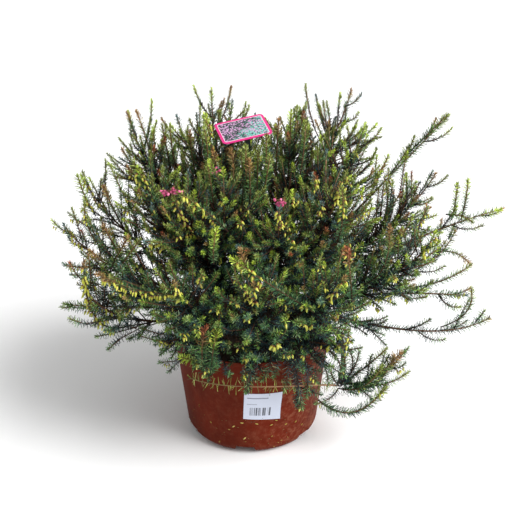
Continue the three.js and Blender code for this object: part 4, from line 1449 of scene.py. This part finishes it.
def dress(growth, pattern, shoot, random, settings):
    """Rings of needles on a shoot: spread below, a little shorter and more upright towards the blunt tip."""
    stem = shoot.stem
    spacing = settings.whorl_spacing / MM * math.sqrt(shoot.size) * shoot.gap
    stations = needle_stations(shoot.leafy, spacing, 1 if shoot.even else OLD_SPACING)
    count = RING_NEEDLES * len(stations)
    rings, within = np.divmod(np.arange(count), RING_NEEDLES)
    jitter = 3 if shoot.combed else 0.5
    back = np.repeat(stations, RING_NEEDLES) + random.uniform(-jitter, jitter, count)
    back = np.clip(back, 0, stem.length)
    around = 360 / RING_NEEDLES * (within + RING_TURN * rings)
    around = around + random.uniform(-STRAY_TURN, STRAY_TURN, count)
    shares = stem.share_at(stem.length - back)
    roots, along, out = stem.on_curve(shares), stem.along(shares), stem.outward(shares, around)
    if shoot.combed:
        out = unit(UP * random.choice((-1, 1), (count, 1)) + random.normal(0, 0.3, (count, 3)))
    slant = ease(TIP_SLANT, shoot.spread, back / OPEN_OVER)
    slant = np.radians(slant + random.uniform(-STRAY_SLANT, STRAY_SLANT, count))[:, None]
    directions = unit(along * np.cos(slant) + out * np.sin(slant) + 0.1 * UP)
    grown = ease(0.7, 1, back / GROW_OVER) * random.uniform(*STRAY_SIZES, count)
    lengths = settings.needle_length / MM * grown * shoot.size
    widths = settings.needle_width / MM * random.uniform(*STRAY_SIZES, count) * shoot.size**0.25
    if shoot.combed:
        widths *= 0.75
    # Needles darken back from the tip: partly older growth, partly painted shade of the bush's inside. Combed
    # shoots keep their tone.
    fade = 1.0 if shoot.combed else ease(1, EVEN_OLD_SHARE if shoot.even else OLD_SHARE, back / DARKEN_OVER)
    age = newest_age(shoot) * fade + random.uniform(-0.05, 0.03, count)
    ages = np.clip(age[:, None] + 0.05 * pattern[0][:, 2], 0, 1)
    shades = (TONES[shoot.tone] + random.uniform(0.06, 0.94, (count, 1))) / len(TONES)
    sides = np.cross(directions, out) + random.normal(0, 0.4, (count, 3))
    growth.add(put(pattern[0], roots, directions, sides, lengths, widths), pattern[1], NEEDLES, ages, shades)


def newest_age(shoot):
    """How far the shoot's newest growth goes towards the tone of its tip: less where it gets less light."""
    return 0.3 + 0.7 * shoot.light


def hang_buds(growth, pattern, shoot, random, settings):
    """Closed buds on short stalks along the leafy part of a shoot, hanging to its lower side."""
    count = shoot.buds
    if not count:
        return
    last = min(shoot.stem.length * 0.9, FIRST_BUD + BUD_STEP * count)
    back = lerp(FIRST_BUD, last, np.arange(count) / count)
    shares = shoot.stem.share_at(shoot.stem.length - back)
    along = shoot.stem.along(shares)
    out = shoot.stem.outward(shares, random.uniform(0, 360, count))
    lower = unit(out + np.array((0, -0.5, -0.8)))
    roots = shoot.stem.on_curve(shares) + lower * random.uniform(1.5, 3.4, (count, 1))
    directions = unit(lower * 0.8 + along * 0.15 - 0.55 * UP)
    size = BAND_BUD_SIZE if count > BAND_BUDS else 1
    lengths = settings.bud_length / MM * random.uniform(0.75, 1.15, count) * size
    corners = put(pattern[0], roots, directions, np.cross(directions, along), lengths, lengths * 0.5)
    growth.add(corners, pattern[1], BUDS, pattern[0][:, 2][None], random.uniform(0.05, 0.95, (count, 1)))


class HEATH_OT_sprays(bpy.types.Operator):
    """Adds the leafy sprays: stems, needles in rings, and closed buds"""

    bl_idname = "heath.sprays"
    bl_label = "Add Sprays"

    def execute(self, context):
        self.settings = context.scene.heath_plant
        self.needle, self.bud = needle_pattern(), bud_pattern()
        self.stem, self.fine_stem = rod_pattern(6, 14), rod_pattern(3, 3)
        finishes = [needle_paint(self.settings), twig_paint(), bud_paint(self.settings)]
        fill_sprays(SPRAY_LINES)
        for spray in SPRAY_LINES:
            nodes = [f"spray_{spray.name}"]
            settle_growth(self.grow(spray), f"leafy_{spray.name}", finishes, "leaf", nodes, (TWIGS, BUDS))
        return {"FINISHED"}

    def grow(self, spray):
        """One spray: its axis, then all its shoots."""
        growth = Growth()
        random = np.random.default_rng(spray.seed)
        radii, ages, shade = PLAIN_AXIS if spray.plain else WOODY_AXIS
        growth.add_rod(self.stem, spray.axis, lambda share: lerp(*radii, share), TWIGS, ages, shade)
        for shoot in [self.leader(spray, random), *self.side_shoots(spray, random)]:
            if shoot.stem is not spray.axis:
                self.add_stem(growth, shoot, random)
            dress(growth, self.needle, shoot, random, self.settings)
            hang_buds(growth, self.bud, shoot, random, self.settings)
        return growth

    def add_stem(self, growth, shoot, random):
        rod = self.stem if shoot.even else self.fine_stem
        ages = (TWIG_AGE, newest_age(shoot))
        growth.add_rod(rod, shoot.stem, lambda share: lerp(*TWIG_RADII, share), TWIGS, ages, random.uniform())

    def leader(self, spray, random):
        """The axis's own leafy end."""
        axis = spray.axis
        if spray.plain:
            leafy = 0.95 * axis.length
            return Shoot(axis, leafy, SINGLE_LIGHT, "olive", 1.2, 80, gap=2.4, even=True, combed=True)
        light, top = light_at(axis.points[-1]), top_share(axis.points[-1])
        tone, buds = self.tone(light, random), BUD_BANDS.get(spray.name, 0)
        if spray.lean:
            leafy = 0.7 * axis.length
            return Shoot(axis, leafy, light, tone, 0.85, EVEN_SPREAD, buds, LEADER_GAP, even=True)
        size, spread = lerp(*LEADER_SIZES, top), lerp(*LEADER_SPREADS, top)
        return Shoot(axis, 0.6 * axis.length, light, tone, size, spread, buds, LEADER_GAP)

    def side_shoots(self, spray, random):
        """The solid's own side shoots, the fine ones between them, and those that stand out singly."""
        shoots = []
        chance = BAND_SIDE_CHANCE if spray.name in BUD_BANDS else SIDE_CHANCE
        for stem in [*spray.shoots, *spray.fine]:
            light, top = light_at(stem.points[-1]), top_share(stem.points[-1])
            leafy = min(LEAFY_SHARE * stem.length, random.uniform(*LEAFY_LENGTHS))
            buds = int(random.integers(*LOOSE_BUDS)) if random.uniform() < chance else 0
            spread = lerp(*SIDE_SPREADS, top) + random.uniform(-STRAY_SPREAD, STRAY_SPREAD)
            tone = self.tone(light, random)
            shoots.append(Shoot(stem, leafy, light, tone, lerp(*SIDE_SIZES, top), spread, buds))
        for *points, tone, size, buds in SINGLE_SHOOTS.get(spray.name, ()):
            stem = Stem(points)
            light, gap = (DEEP_LIGHT, DEEP_GAP) if tone == "deep" else (SINGLE_LIGHT, SINGLE_GAP)
            leafy = 0.95 * stem.length
            shoots.append(Shoot(stem, leafy, light, tone, size, EVEN_SPREAD, buds, gap, even=True))
        return shoots

    def tone(self, light, random):
        return str(random.choice(list(TONES), p=lerp(LOW_TONE_CHANCES, HIGH_TONE_CHANCES, light)))


# Open flowers

BLOOM_SEED = 200
STALK_RADII, STALK_AGE = (0.9, 0.6), 0.8
THIN_RADII, THIN_AGE = (0.3, 0.3), 0.6
STALK_SHARES = (0.35, 0.95)
BELL_LENGTHS = (3.6, 5.2)


def bell_paint(settings):
    def build(paint):
        age, shade = own_value(paint, "age"), own_value(paint, "shade")
        deep, pale = scaled(settings.bell, 0.55), scaled(settings.bell, 1.5, 0.12)
        petal = shade.ramp((0, deep), (0.5, tuple(settings.bell)), (1, pale))
        return {"Base Color": age.between(0.85, 1).mix(petal, "#6e2338")}

    return material("pink_bells", build, Roughness=0.5)


class HEATH_OT_blooms(bpy.types.Operator):
    """Adds the open pink flower clusters at the tips of their sprays"""

    bl_idname = "heath.blooms"
    bl_label = "Add Blooms"

    def execute(self, context):
        finishes = [bell_paint(context.scene.heath_plant), twig_paint()]
        self.bell, self.stalk = bell_pattern(), rod_pattern(5, 3)
        for seed, (name, (stem, width, bells)) in enumerate(self.clusters().items()):
            growth = self.cluster(stem, width, bells, np.random.default_rng(BLOOM_SEED + seed))
            nodes = [f"bloom_{name}"] if name in BLOOMS else []
            settle_growth(growth, f"open_bloom_{name}", finishes, "bloom", nodes, (0, 1))
        return {"FINISHED"}

    def clusters(self):
        """The stalk of each cluster, its spread and the number of its bells, by name."""
        axes = {spray.name: spray.axis for spray in SPRAY_LINES}
        made = {}
        for name, (spray, reach, width, bells) in BLOOMS.items():
            up = axes[spray].along(1.0)
            start = axes[spray].on_curve(1.0) + up * JOINT_GAP
            made[name] = (Stem([start, start + up * reach]), width, bells)
        *points, width, bells = SMALL_BLOOM
        return made | {"small": (Stem(points), width, bells)}

    def cluster(self, stem, width, count, random):
        """A stalk, and bells on short stalks of their own, spread sideways more than upwards."""
        growth = Growth()
        self.add_stalk(growth, stem, STALK_RADII, STALK_AGE)
        places = random.uniform(*STALK_SHARES, count)
        aside = np.linspace(-1, 1, count) * width
        nearer = random.uniform(-4, 2, count)
        offsets = np.column_stack((aside, nearer, random.uniform(-1.5, 1.5, count) - 0.12 * np.abs(aside)))
        from_stem = stem.on_curve(places)
        roots = from_stem + offsets
        for root, place in zip(roots, from_stem):
            self.add_stalk(growth, Stem([place, (root + place) / 2 + UP, root]), THIN_RADII, THIN_AGE)
        directions = unit(offsets * (0.12, 0.2, 0) + random.uniform(-0.5, 0.5, (count, 3)) + (0, -0.35, 0.2))
        lengths = random.uniform(*BELL_LENGTHS, count)
        shades = random.uniform(0, 1, (count, 1))
        corners, triangles = self.bell
        bells = put(corners, roots, directions, np.cross(directions, (0.1, 0.2, 1)), lengths, lengths * 0.6)
        growth.add(bells, triangles, 0, corners[:, 2][None], shades)
        return growth

    def add_stalk(self, growth, stem, radii, age):
        growth.add_rod(self.stalk, stem, lambda share: lerp(*radii, share), 1, (age, age), 0.5)


# Label and sticker

CARD_BORDER = 3
CARD_LINE_END = 3.6
CARD_THICKNESS = 0.8
STAKE_WIDTH = 6
STAKE_THICKNESS = 1.3
STAKE_POINT = 8
STAKE_OVERLAP = 2
STICKER_GAP = 0.35
STICKER_THICKNESS = 0.25
LOOSE_FROM = 0.45


def on_sheet(paint):
    """The place on the flat sheet, in millimetres from its middle, whole and split in two."""
    uv = paint.node("ShaderNodeUVMap", {"uv_map": "sheet"})
    return uv, [paint.node("ShaderNodeSeparateXYZ", inputs={0: uv}, output=i) for i in range(2)]


def printed_card(settings):
    """A pink border and a pale line round loose pink sprigs on a dark and teal ground."""

    def build(paint):
        uv, split = on_sheet(paint)
        beyond = [
            (axis.math("ABSOLUTE") - (size / 2 - CARD_CORNER)).math("MAXIMUM", 0)
            for axis, size in zip(split, (CARD_WIDTH, CARD_HEIGHT))
        ]
        to_edge = CARD_CORNER - (beyond[0] * beyond[0] + beyond[1] * beyond[1]).math("SQRT")
        sway = noise(paint, uv, 0.09, 3)
        petals = paint.node("ShaderNodeTexVoronoi", inputs={"Vector": uv, "Scale": 0.42})
        leaves = noise(paint, uv, 0.5, 4, 0.7)
        teal = (sway + split[0] * 0.012 - split[1] * 0.012).between(0.42, 0.68)
        ground = teal.mix(settings.ground, "#5fd0b8")
        dark = leaves.between(0.44, 0.56).mix(ground, "#16302e")
        drift = noise(paint, uv, 0.14) + split[1] * 0.006
        bloom = (1 - petals.between(0.25, 0.6)) * drift.between(0.3, 0.5)
        flowers = bloom.mix(dark, settings.sprig)
        bright = (noise(paint, uv, 0.8).between(0.58, 0.68) * 0.8).mix(flowers, "#f6e9f4")
        inner = (to_edge > CARD_LINE_END).mix("#f3d9ea", bright)
        return {"Base Color": (to_edge > CARD_BORDER).mix(settings.border, inner)}

    return material("printed_card", build, Roughness=0.24, Coat_Weight=0.3)


def sticker_paper(settings):
    """Matt bluish paper with plain grey bars and rules."""

    def build(paint):
        uv, (x, y) = on_sheet(paint)
        fibres = noise(paint, uv, 3, 4)
        wide = {"W": x * 0.5, "Scale": 1.0, "Detail": 1.0}
        columns = paint.node("ShaderNodeTexNoise", {"noise_dimensions": "1D"}, wide)
        bars = (columns > 0.5) * (y > -13.5) * (y < -1.5) * (x > -15.5) * (x < 11)
        upper = (y > 11.8) * (y < 13.6) * (x > -19) * (x < 6)
        middle = (y > 3) * (y < 4.2) * (x > -19) * (x < -7)
        mark = (bars * 0.9).math("MAXIMUM", (upper * 0.6).math("MAXIMUM", middle * 0.45))
        paper = fibres.between(0.3, 0.7).mix(scaled(settings.paper, 0.93), settings.paper)
        return {"Base Color": mark.mix(paper, "#30343e"), "Normal": bump(paint, fibres, 0.05 * MM, 0.4)}

    return material("sticker_paper", build, Roughness=0.62)


def sheet_map(piece):
    """A UV map that holds each corner's place on the flat sheet, in millimetres."""
    mesh = piece.data
    layer = mesh.uv_layers.new(name="sheet")
    for loop in mesh.loops:
        layer.data[loop.index].uv = mesh.vertices[loop.vertex_index].co.xy / MM


class HEATH_OT_label(bpy.types.Operator):
    """Adds the picture label: a card with round corners on a stake"""

    bl_idname = "heath.label"
    bl_label = "Add Label"

    def execute(self, context):
        settings = context.scene.heath_card
        start_clean()
        bpy.ops.mesh.primitive_plane_add(size=1)
        card = bpy.context.object
        card.scale = (CARD_WIDTH * MM, CARD_HEIGHT * MM, 1)
        bpy.ops.object.transform_apply(scale=True)
        with editing("VERT", lambda corner: True):
            bpy.ops.mesh.bevel(offset=CARD_CORNER * MM, segments=8, affect="VERTICES")
        modify(card, "SOLIDIFY", thickness=CARD_THICKNESS * MM, offset=0)
        modify(card, "BEVEL", width=0.15 * MM, segments=2, limit_method="ANGLE")
        sheet_map(card)
        card.data.uv_layers["sheet"].active = True
        up = (CARD_DOWN.dot(CARD_RIGHT) * CARD_RIGHT - CARD_DOWN).normalized()
        turn = Matrix((CARD_RIGHT, up, CARD_RIGHT.cross(up))).transposed().to_4x4()
        card.data.transform(Matrix.Translation(CARD_CENTRE * MM) @ turn)
        stake = self.stake()
        card.data.materials.append(printed_card(settings))
        start_clean()
        stake.select_set(True)
        card.select_set(True)
        bpy.context.view_layer.objects.active = card
        bpy.ops.object.join()
        settle(card, "picture_label", [], "label", "label")
        return {"FINISHED"}

    def stake(self):
        """A flat dark strip from behind the card down into the compost, pointed at its foot."""
        top = CARD_CENTRE + CARD_DOWN * (CARD_HEIGHT / 2 - STAKE_OVERLAP)
        reach = top.z - STAKE_FOOT
        start_clean()
        bpy.ops.mesh.primitive_cube_add(size=1)
        stake = bpy.context.object
        stake.scale = Vector((STAKE_WIDTH, STAKE_THICKNESS, reach)) * MM
        bpy.ops.object.transform_apply(scale=True)
        with editing("FACE", lambda face: face.normal.z < -0.9):
            bpy.ops.mesh.extrude_region_move(TRANSFORM_OT_translate={"value": (0, 0, -STAKE_POINT * MM)})
            bpy.ops.transform.resize(value=(0.2, 0.6, 1), center_override=(0, 0, 0))
        modify(stake, "BEVEL", width=0.3 * MM, segments=2, limit_method="ANGLE")
        bearing = math.atan2(CARD_RIGHT.y, CARD_RIGHT.x)
        place = Vector((top.x, top.y, top.z - reach / 2)) * MM
        stake.data.transform(Matrix.Translation(place) @ Matrix.Rotation(bearing, 4, "Z"))
        stake.data.materials.append(stake_plastic())
        return stake


def stake_plastic():
    def build(paint):
        grain = noise(paint, place_of(paint), 300, 3)
        return {"Base Color": grain.mix("#070d0a", "#0e1a15")}

    return material("stake_plastic", build, Roughness=0.6, Specular_IOR_Level=0.2)


class HEATH_OT_sticker(bpy.types.Operator):
    """Adds the price sticker, wrapped on the pot with one corner loose"""

    bl_idname = "heath.sticker"
    bl_label = "Add Sticker"

    def execute(self, context):
        settings = context.scene.heath_card
        start_clean()
        bpy.ops.mesh.primitive_grid_add(x_subdivisions=24, y_subdivisions=18, size=1)
        sheet = bpy.context.object
        sheet.scale = (STICKER_WIDTH * MM, STICKER_HEIGHT * MM, 1)
        bpy.ops.object.transform_apply(scale=True)
        sheet_map(sheet)
        lean = Matrix.Rotation(math.radians(STICKER_LEAN), 2)
        curl = settings.curl / MM
        for corner in sheet.data.vertices:
            across, up = lean @ corner.co.xy / MM
            height = STICKER_MIDDLE + up
            loose = max(across / STICKER_WIDTH - up / STICKER_HEIGHT - LOOSE_FROM, 0) / (1 - LOOSE_FROM)
            radius = wall_radius(height) + STICKER_GAP + curl * loose**2
            angle = math.radians(STICKER_AZIMUTH) + across / wall_radius(STICKER_MIDDLE)
            corner.co = Vector((radius * math.cos(angle), radius * math.sin(angle), height)) * MM
        modify(sheet, "SOLIDIFY", thickness=STICKER_THICKNESS * MM, offset=0)
        bpy.ops.object.shade_smooth_by_angle(angle=math.radians(40))
        settle(sheet, "price_sticker", [sticker_paper(settings)], "paper", "sticker")
        return {"FINISHED"}


# Stage, in metres

FLOOR_SIZE = 14
CAMERA_PLACE = (0.0122, -1.3718, 0.9333)
CAMERA_TILT = 62.6
SENSOR_WIDTH = 36
KEY_PLACE = (1.7, -1.0, 2.3)
KEY_SPREAD = 34
FILL_PLACE = (1.5, -0.8, 0.45)
FILL_SIZE = 0.9
LIT_POINT = Vector((0, 0, 0.2))


class HEATH_OT_stage(bpy.types.Operator):
    """Adds the pale floor, the soft studio light and the camera"""

    bl_idname = "heath.stage"
    bl_label = "Add Stage"

    def execute(self, context):
        settings = context.scene.heath_studio
        self.floor(settings)
        self.sky(context.scene, settings)
        self.lamp("key_light", "SUN", KEY_PLACE, settings.key).angle = math.radians(KEY_SPREAD)
        self.lamp("fill_light", "AREA", FILL_PLACE, settings.fill).size = FILL_SIZE
        camera = bpy.data.cameras.new("camera")
        camera.lens = settings.lens
        camera.sensor_width = SENSOR_WIDTH
        camera.clip_end = 50
        stand = add_to_scene("camera", camera)
        stand.location = CAMERA_PLACE
        stand.rotation_euler = (math.radians(CAMERA_TILT), 0, 0)
        context.scene.camera = stand
        return {"FINISHED"}

    def floor(self, settings):
        start_clean()
        bpy.ops.mesh.primitive_plane_add(size=FLOOR_SIZE)
        floor = bpy.context.object
        floor.name = "floor"

        def build(paint):
            cloud = noise(paint, place_of(paint), 2)
            return {"Base Color": cloud.mix(scaled(settings.floor, 0.98), settings.floor)}

        floor.data.materials.append(material("pale_floor", build, Roughness=0.9))
        floor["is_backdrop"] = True

    def sky(self, scene, settings):
        world = bpy.data.worlds.new("studio")
        world.use_nodes = True
        light = world.node_tree.nodes["Background"].inputs
        light["Color"].default_value = (1, 1, 1, 1)
        light["Strength"].default_value = settings.sky
        scene.world = world
        scene.view_settings.view_transform = "Standard"

    def lamp(self, name, kind, place, energy):
        lamp = bpy.data.lights.new(name, kind)
        lamp.energy = energy
        stand = add_to_scene(name, lamp)
        stand.location = place
        stand.rotation_euler = (LIT_POINT - Vector(place)).to_track_quat("-Z", "Y").to_euler()
        return lamp


class HEATH_PT_panel(bpy.types.Panel):
    """Lists the heath's settings and pieces"""

    bl_label = "Potted Heath"
    bl_space_type = "VIEW_3D"
    bl_region_type = "UI"
    bl_category = "Heath"

    def draw(self, context):
        for group, operators in STEPS:
            box = self.layout.box()
            for operator in operators:
                box.operator(operator.bl_idname)
            settings = getattr(context.scene, group)
            for name in settings.bl_rna.properties.keys():
                if name not in ("rna_type", "name"):
                    box.prop(settings, name)


GROUPS = {
    "heath_pot": HeathPot,
    "heath_plant": HeathPlant,
    "heath_card": HeathCard,
    "heath_studio": HeathStudio,
}
STEPS = (
    ("heath_studio", (HEATH_OT_stage,)),
    ("heath_pot", (HEATH_OT_pot, HEATH_OT_compost)),
    ("heath_plant", (HEATH_OT_limbs, HEATH_OT_sprays, HEATH_OT_blooms)),
    ("heath_card", (HEATH_OT_label, HEATH_OT_sticker)),
)


def register():
    for name, group in GROUPS.items():
        bpy.utils.register_class(group)
        setattr(bpy.types.Scene, name, bpy.props.PointerProperty(type=group))
    for _, operators in STEPS:
        for operator in operators:
            bpy.utils.register_class(operator)
    bpy.utils.register_class(HEATH_PT_panel)


def unregister():
    bpy.utils.unregister_class(HEATH_PT_panel)
    for _, operators in reversed(STEPS):
        for operator in reversed(operators):
            bpy.utils.unregister_class(operator)
    for name, group in reversed(GROUPS.items()):
        delattr(bpy.types.Scene, name)
        bpy.utils.unregister_class(group)


def main():
    register()
    for _, operators in STEPS:
        for operator in operators:
            family, name = operator.bl_idname.split(".")
            getattr(getattr(bpy.ops, family), name)()
    boxes = {"cad": CAD_BOX, "visual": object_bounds()}
    {name: [list(corner) for corner in box] for name, box in boxes.items()}


if __name__ == "__main__":
    main()
